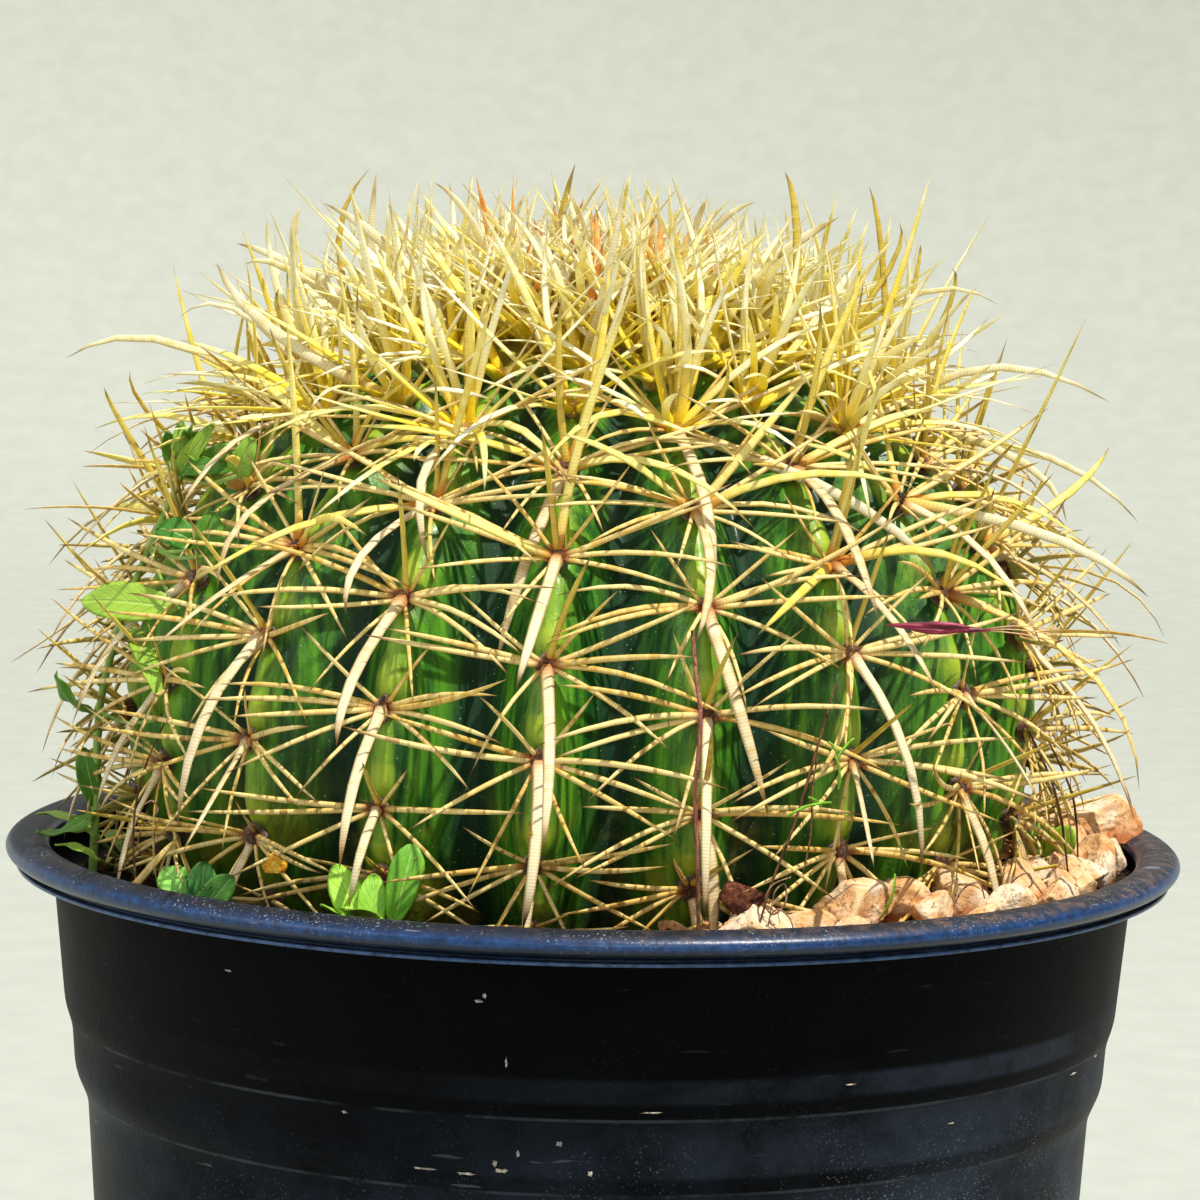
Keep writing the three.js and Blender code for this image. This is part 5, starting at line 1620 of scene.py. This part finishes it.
def make_weed(node, stem, stem_radius, leaves, finish, wave=0.25):
    """A weed as one piece: its stem with the root end in the soil, petioles and leaves."""
    joints = [on_soil(*spot) for spot in stem]
    line = curve_through([joints[0] - Vector((0, 0, ROOT_DEPTH * MM)), *joints], 5)
    radii = [stem_radius * MM * (1 - STEM_TAPER * i / (len(line) - 1)) for i in range(len(line))]
    skins = [toned(tube(line, radii), STEM_TONE)]
    for number, (at, tip, width, sag, belly, curl, tone, *more) in enumerate(leaves):
        faced = {"front": Vector((0.1, -1, 0.35)), "up": None}[more[0] if more else "up"]
        start = joints[at] + (joints[at - 1] - joints[at]).normalized() * MM
        if len(more) > 1:
            foot = on_soil(*more[1])
            stalk = curve_through([start, start.lerp(foot, 0.5) - Vector((0, 0, STALK_SAG)), foot], 4)
            skins.append(toned(tube(stalk, [STALK_RADIUS] * len(stalk), 6), STALK_TONE))
            start = foot
        tip, width, sag, curl = on_soil(*tip), width * MM, sag * MM, curl * MM
        leaf = leaf_skin(start, tip, width, sag, belly, curl, wave * MM, number, faced, LEAF_BLUNT)
        skins.append(toned(leaf, tone))
    return finished(gathered(f"{node}_plant", skins), finish, "weed", node)


def leaf_finish(name, dark, light, vein):
    """Soft leaf: from dark to light by its tone, with a pale midrib and finer side veins."""
    finish = new_finish(name, {"Specular IOR Level": 0.4})
    along, across, tone = (mark(finish, key) for key in ("along", "across", "tone"))
    from_midrib = maths("ABSOLUTE", across)
    place = object_place(finish)
    mottle = grain(place, 420.0, 4.0, 0.6)
    tint = blended(dark, light, fade(tone + (mottle - 0.5) * 0.5, 0.0, 1.0))
    side_veins = fade(maths("SINE", (along * 7.0 - from_midrib * 2.2) * (2 * math.pi)), 0.8, 1.0)
    midrib = 1.0 - fade(from_midrib, 0.0, 0.12)
    tint = blended(tint, vein, maths("MAXIMUM", midrib * 0.4, side_veins * 0.08))
    edge = fade(from_midrib, 0.86, 1.0)
    tint = blended(tint, light, edge * 0.4)
    relief = 0.6 - midrib * 0.5 - side_veins * 0.3 + mottle * 0.2
    return painted(finish, tint, 0.42 + mottle * 0.15, relief, 0.3 * MM)


tall_leaf = leaf_finish("tall_weed_leaf", "#347a1a", "#93b83c", "#b9d478")
fresh_leaf = leaf_finish("fresh_leaf", "#4c9a22", "#a5d63e", "#c6e585")
bluish_leaf = leaf_finish("bluish_leaf", "#2a8040", "#98dc62", "#b4dfa0")
# Each leaf: the stem point it grows from, its tip, width, sag, widest place, curl and lightness, and
# for some also which way they face and where their own stalk ends.
make_weed(
    "tall_weed",
    [(-113, -22, 0), (-112, -24, 20), (-111, -27, 42), (-106, -31, 62), (-99, -34, 80), (-92, -36, 96)],
    1.1, [
        (5, (-82, -48, 95), 8, 5, 0.45, 2, 0.5), (5, (-96, -36, 105), 4.5, -3, 0.45, -3, 0.3, "front"),
        (5, (-92, -42, 106), 5, 3, 0.5, 4, 0.65, "front"),
        (5, (-89, -45, 108), 4.5, -3, 0.5, -4, 0.35, "front"),
        (5, (-86, -47, 106), 4.5, 3, 0.5, 4, 0.8, "front"), (5, (-83, -51, 103), 5, -2, 0.5, 4, 0.5, "front"),
        (5, (-81, -54, 99), 4.5, 3, 0.5, 4, 0.2, "front"),
        (5, (-75, -64, 105), 6, 2, 0.5, 2, 0.6, "front", (-78, -58, 97)),
        (4, (-113, -48, 68.4), 9, 2, 0.5, 1, 1.0, "front", (-91, -54, 67.5)),
        (4, (-96, -54, 85.4), 7, 2, 0.5, 1, 0.1, "front", (-87, -54, 81.7)),
        (4, (-83, -62, 89.4), 7, 2, 0.5, 1, 0.25, "front", (-85, -58, 79.7)),
        (3, (-93, -72, 50), 6, 4, 0.4, 1, 0.75), (2, (-119, -40, 52), 5, -3, 0.4, 1, 0.3),
        (2, (-95, -44, 55), 4, 1, 0.5, 0, 0.95, "front", (-97, -38, 41)),
        (1, (-124, -36, 16), 7, -3, 0.5, 1, 0.3), (1, (-115, -26, 33), 5.5, 1, 0.55, 1, 0.25, "front"),
    ], tall_leaf, 0.5,
)
make_weed("round_leaf_seedling", [(-46, -106, 0), (-46, -106, 5)], 1.2, [
    (1, (-37, -104, 25), 7.5, 1.5, 0.66, 0, 0.3, "front", (-41, -106, 8)),
    (1, (-45, -103.5, 18.5), 6.5, 1, 0.6, 1, 0.55, "front"),
    (1, (-53.5, -101.5, 20), 7.5, 1, 0.6, 1, 0.75, "front"),
    (1, (-56, -108, 12.5), 6, 1, 0.62, 0, 0.55),
    (1, (-50, -115, 13.5), 8.5, 2, 0.62, 1, 0.95),
], fresh_leaf, 0.15)
make_weed("lobed_seedling", [(-84, -71, 0), (-84, -73, 4)], 1.2, [
    (1, (-92.5, -67, 13), 7.5, 2, 0.66, 1, 0.8, "front"), (1, (-87, -72, 12), 5.5, 1, 0.66, 1, 0.55, "front"),
    (1, (-83, -75, 15.5), 6.5, 1, 0.62, 1, 0.3, "front"),
    (1, (-76.5, -81, 13.5), 6.5, 1, 0.62, 1, 0.5, "front"),
    (1, (-80, -79, 10.5), 5.5, 1, 0.62, 1, 0.35, "front"),
], bluish_leaf, 0.5)
make_weed("rim_weed", [(-106, 2, 0), (-107, 1, 4)], 1.2, [
    (1, (-127, -12, 15.5), 6, 2, 0.5, 0, 1.0, "up", (-111, -24, 12)), (1, (-115, 13, 8), 6, 2, 0.5, 0, 0.6),
    (1, (-120, -34, 12), 5, 1, 0.5, 0, 0.9, "up", (-110, -40, 10)),
], tall_leaf)
make_weed("gravel_seedling", [(103.5, -10, 0), (104, -12, 5)], 1.1, [
    (1, (108.5, -16, 12.5), 7, 1, 0.6, 0, 0.8, "front"), (1, (101.5, -12, 13), 6.5, 1, 0.6, 0, 0.6, "front"),
], fresh_leaf, 0.15)


# ---------- The litter ----------
# What has blown or fallen in: a dry pinkish stalk that leans on the front ribs, thin brown strands,
# curly roots, a dark red grass seed, green grass bits, fallen spines, a bud and a crumb of bark; and
# splashes of mud that have dried on the wall.

# Each strand: its points, its radius in the middle, and the share of that radius left at its ends.
STRANDS = {
    "dry_stalk": [
        ([(19.5, -108, 287), (20.4, -114, 278), (21.3, -119.5, 270), (20.6, -120.5, 254), (21.4, -120, 240),
          (21.9, -118, 225)], 0.55, 0.8),
    ],
    "brown_strands": [
        ([(49.6, -100, 276), (45.8, -108, 264), (41.1, -112, 248), (37, -114, 237), (33.9, -115, 226)],
         0.32, 0.6),
        ([(47.1, -96, 263), (45.2, -104, 256), (44.6, -111, 246), (43, -114, 238)], 0.2, 0.6),
        ([(-92, -62, 262), (-97, -64, 250), (-99, -66, 238), (-98, -68, 222)], 0.3, 0.6),
        ([(94, -45, 262), (100, -47, 250), (103, -46, 240), (105, -44, 228)], 0.35, 0.6),
        ([(100, -30, 258), (106, -31, 246), (108, -30, 238), (109, -28, 226)], 0.3, 0.6),
    ],
    "curly_roots": [
        ([(35.6, -114, 224), (36.8, -114, 231), (37.4, -114.4, 234.5), (39.4, -114.2, 236),
          (39.6, -113.6, 232), (37.2, -113.4, 229.6), (35.4, -113.8, 232), (36.8, -114.6, 235.8),
          (40.6, -114.8, 237.6)], 0.2, 0.7),
        ([(42, -115, 224), (40.6, -115.4, 229), (38, -115.2, 231), (36.4, -114.8, 228.6),
          (38.4, -114.4, 226.4)], 0.18, 0.7),
        ([(-97.2, -60, 241.8), (-95.6, -60.4, 242.6), (-94.4, -60.8, 241), (-95.4, -60.6, 238.6),
          (-97.6, -60.2, 237), (-98.8, -60, 233)], 0.25, 0.7),
        ([(88, -72, 226), (90, -74, 231), (93, -75, 233), (94, -73, 230), (91, -71, 228.4)], 0.2, 0.7),
        ([(76, -86, 226), (78, -87, 231), (81.5, -86.6, 232.6), (83, -85, 229)], 0.2, 0.7),
    ],
}
STRAND_STEPS, STRAND_SIDES = 6, 6
STRAND_COLOURS = {
    "dry_stalk": ("#5e3228", "#a5705c"), "brown_strands": ("#3c2214", "#7d5233"),
    "curly_roots": ("#6b4636", "#c49a82"),
}


def strand_finish(name, dark, light):
    finish = new_finish(name, {"Specular IOR Level": 0.25})
    place = object_place(finish)
    fibre = grain(place * (1.0, 1.0, 0.15), 2200.0, 3.0, 0.6)
    nodes = fade(grain(place * (0.1, 0.1, 1.0), 160.0, 2.0), 0.6, 0.68)
    tint = blended(blended(dark, light, fade(fibre, 0.35, 0.7)), dark, nodes * 0.7)
    return painted(finish, tint, 0.7, fibre, 0.15 * MM)


for name, strands in STRANDS.items():
    skins = []
    for spots, radius, ends in strands:
        line = curve_through([Vector(spot) * MM for spot in spots], STRAND_STEPS)
        last = len(line) - 1
        swell = [ends + (1 - ends) * math.sin(math.pi * i / last) for i in range(last + 1)]
        skins.append(tube(line, [radius * MM * share for share in swell], STRAND_SIDES))
    finish = strand_finish(name, *STRAND_COLOURS[name])
    finished(gathered(name, skins), finish, "soil" if name == "curly_roots" else "weed")

# The grass seed: three narrow husks side by side, and three thin awns at its tip.
SEED_BACK, SEED_FRONT = Vector((58.9, -108.5, 289.2)) * MM, Vector((80.5, -107, 288.2)) * MM
# Each husk: its offset, the shares of the seed's length where it starts and stops, and its thickness.
HUSKS = [
    ((0, 0, 0), 0.0, 1.0, 1.0), ((0, -0.5, 0.7), 0.2, 0.9, 0.7), ((0, -0.4, -0.7), 0.12, 0.8, 0.7),
]
HUSK_STEPS = 12
HUSK_END, HUSK_BELLY = 0.06, 0.8
AWN_RISES = (-0.8, 0.4, 1.6)
AWN_RADIUS = 0.14 * MM
BARE_TIP = (79 * MM, 84 * MM)
seed_skins = []
for offset, start, stop, thick in HUSKS:
    line, radii = [], []
    for i in range(HUSK_STEPS + 1):
        t = start + (stop - start) * i / HUSK_STEPS
        belly = math.sin(math.pi * i / HUSK_STEPS)
        line.append(SEED_BACK.lerp(SEED_FRONT, t) + Vector(offset) * MM * belly)
        radii.append(thick * MM * (HUSK_END + belly ** HUSK_BELLY))
    seed_skins.append(tube(line, radii, 8))
for rise in AWN_RISES:
    awn = [SEED_FRONT - Vector((3, 0, 0)) * MM, SEED_FRONT + Vector((5, 1, rise * 0.6)) * MM,
           SEED_FRONT + Vector((14, 2.5, rise - 1.2)) * MM]
    line = curve_through(awn, 5)
    seed_skins.append(tube(line, [AWN_RADIUS] * len(line), 5))
seed_finish = new_finish("red_grass_seed", {"Specular IOR Level": 0.4})
place = object_place(seed_finish)
husk = grain(place * (0.08, 1.0, 1.0), 1500.0, 3.0, 0.6)
seed_tint = shades(husk, (0.35, "#3a0714"), (0.5, "#7a1030"), (0.62, "#a03050"), (0.74, "#e2b9a2"))
seed_tint = blended(seed_tint, "#d2a67a", fade(part_of(place, 0), *BARE_TIP))
painted(seed_finish, seed_tint, 0.45, husk, 0.2 * MM)
finished(gathered("grass_seed", seed_skins), seed_finish, "weed")

# Green grass bits: narrow curled leaves with fine points.
GRASS = [
    ((49.9, -113, 255.5), (49.2, -113, 262.5), 2.0, 0.6), ((49.6, -113, 262), (53, -112, 266.2), 1.0, 0.4),
    ((49.6, -112.6, 263), (47.6, -112, 265.4), 0.9, 0.3),
    ((48.6, -116, 253.4), (39.4, -117.5, 250.6), 1.5, 0.8),
    ((46.5, -116, 252.4), (43.6, -117, 254.6), 0.9, 0.3), ((60, -96, 226), (63, -97, 236), 1.0, -1.0),
]
blades = []
for number, (root, tip, width, sag) in enumerate(GRASS):
    blade = leaf_skin(Vector(root) * MM, Vector(tip) * MM, width * MM, sag * MM, 0.4, 0.0, 0.1 * MM, number)
    blades.append(toned(blade, 0.6 + 0.4 * (number % 2)))
grass_finish = leaf_finish("grass_leaf", "#3f9a1c", "#93d23a", "#c2e884")
finished(gathered("grass_bits", blades), grass_finish, "weed")

# Fallen spines: one banded tip stands in the soil on the left, the others lie about. Where they lie
# and how is drawn between these limits, in degrees and millimetres.
FALLEN_COUNT = 90
FALLEN = {
    "azimuth": (-100, 170), "distance": (100, 117), "above soil": (0.6, 2.4), "length": (9, 24),
    "turn": (40, 140), "rise": (-1, 5), "bow": (-1, 2), "width": (0.9, 1.7),
}
STANDING_TIP = (
    Vector((-98, -75, 226)) * MM, Vector((-89.2, -75, 236.6)) * MM, Vector((0, 0, 0)), 1.7 * MM,
    Vector((0, -1, 0)),
)
draw = make_draw(91)
fallen = [STANDING_TIP]
for _ in range(FALLEN_COUNT):
    azimuth = draw(*FALLEN["azimuth"])
    distance = draw(*FALLEN["distance"]) * MM
    start = around(azimuth, distance, soil_height(azimuth) + draw(*FALLEN["above soil"]) * MM)
    length = draw(*FALLEN["length"]) * MM
    way = around(azimuth + draw(*FALLEN["turn"]), length, draw(*FALLEN["rise"]) * MM)
    end = start + way
    if Vector((end.x, end.y)).length < INSIDE_WALL:
        bow = Vector((0, 0, draw(*FALLEN["bow"]))) * MM
        fallen.append((start, end, bow, draw(*FALLEN["width"]) * MM, Vector((0, 0, 1))))
placed_spines("fallen_spines", fallen, side_finish, 92)

# Dried splashes of mud and lime on the wall: azimuth, drop below the rim's middle, length and height.
WALL_MARKS = [
    (-10.6, 14, 2.1, 1), (-10, 12.8, 1.2, 1.4), (-7.9, 26.7, 0.6, 3), (6.3, 36.6, 6, 0.5),
    (-2.7, 43.7, 1.9, 1.4), (-16.3, 50.6, 7, 0.6), (-12, 51, 5, 0.8), (-8.4, 49.9, 4, 1.2),
    (-9.1, 48.4, 1.4, 1.8), (-6.8, 46.1, 0.8, 2), (62.7, 40.4, 5, 0.6), (70, 39.2, 3.4, 0.7),
    (40, 43.9, 3, 0.5), (26.5, 32.3, 3.6, 0.5), (-24.9, 40.3, 1.8, 0.9), (-38, 13.3, 2.2, 0.6),
    (0.4, 49.9, 1.5, 1.5), (118, 61, 4, 1), (171, 48, 3, 1.2), (-104, 70, 4, 1), (-150, 33, 3, 0.8),
]
SPLASH_CORNERS = 11
# Its layers: the share of its size that each has, and how far it stands off the wall in millimetres.
SPLASH_LAYERS = [(1.0, -0.05), (0.9, 0.12), (0.55, 0.25)]


def crust_finish(name, fineness, detail, *ramp, roughness, depth, gloss):
    """A dry, crumbly stuff: a colour ramp of its grain, which is also its relief."""
    finish = new_finish(name, {"Specular IOR Level": gloss})
    crust = grain(object_place(finish), fineness, detail, 0.7)
    return painted(finish, shades(crust, *ramp), roughness, crust, depth)


draw = make_draw(93)
splash_skins = []
for turn, drop, long, high in WALL_MARKS:
    rings = []
    for spread, lift in SPLASH_LAYERS:
        ring = []
        for corner in range(SPLASH_CORNERS):
            angle = 2 * math.pi * corner / SPLASH_CORNERS
            edge = spread * (0.75 + 0.25 * math.sin(3.7 * corner + drop))
            z = RIM_MIDDLE + (high / 2 * math.sin(angle) * edge - drop) * MM
            radius = float(np.interp(z, [p[1] for p in wall_line], [p[0] for p in wall_line]))
            azimuth = turn + math.degrees(long / 2 * math.cos(angle) * edge * MM / radius)
            ring.append(around(azimuth, out_of_round(azimuth, radius) + lift * MM, z))
        rings.append(ring)
    middle = sum(rings[-1], Vector()) / SPLASH_CORNERS
    splash_skins.append(ring_faces(rings, None, middle * (1 + 0.0004 * draw(0, 1))))
splash_finish = crust_finish(
    "dried_splash", 900.0, 4.0, (0.35, "#4c4138"), (0.5, "#a3978b"), (0.66, "#e6e1d8"),
    roughness=0.8, depth=0.2 * MM, gloss=0.25,
)
finished(gathered("dried_splashes", splash_skins), splash_finish, "soil")

# A dried yellow bud and a crumb of bark, each with its size, turn and place.
BUD = (Vector((5.6, 5, 5.4)) * MM, 20, Vector((-66.5, -93, 234.6)) * MM)
BARK = (Vector((10, 7, 9)) * MM, -15, Vector((31, -108, 231)) * MM)
bud_finish = crust_finish(
    "dried_bud", 500.0, 4.0, (0.3, "#9a4f10"), (0.5, "#e0a020"), (0.7, "#f4d460"),
    roughness=0.6, depth=0.4 * MM, gloss=0.3,
)
finished(broken_rock("dried_bud", 601, *BUD), bud_finish, "weed")
bark_finish = crust_finish(
    "bark_crumb", 420.0, 5.0, (0.35, "#1e0f08"), (0.5, "#5a3020"), (0.68, "#9a6044"),
    roughness=0.85, depth=0.8 * MM, gloss=0.2,
)
finished(broken_rock("bark_crumb", 602, *BARK), bark_finish, "soil")
bpy.data.objects.remove(spine_blade)
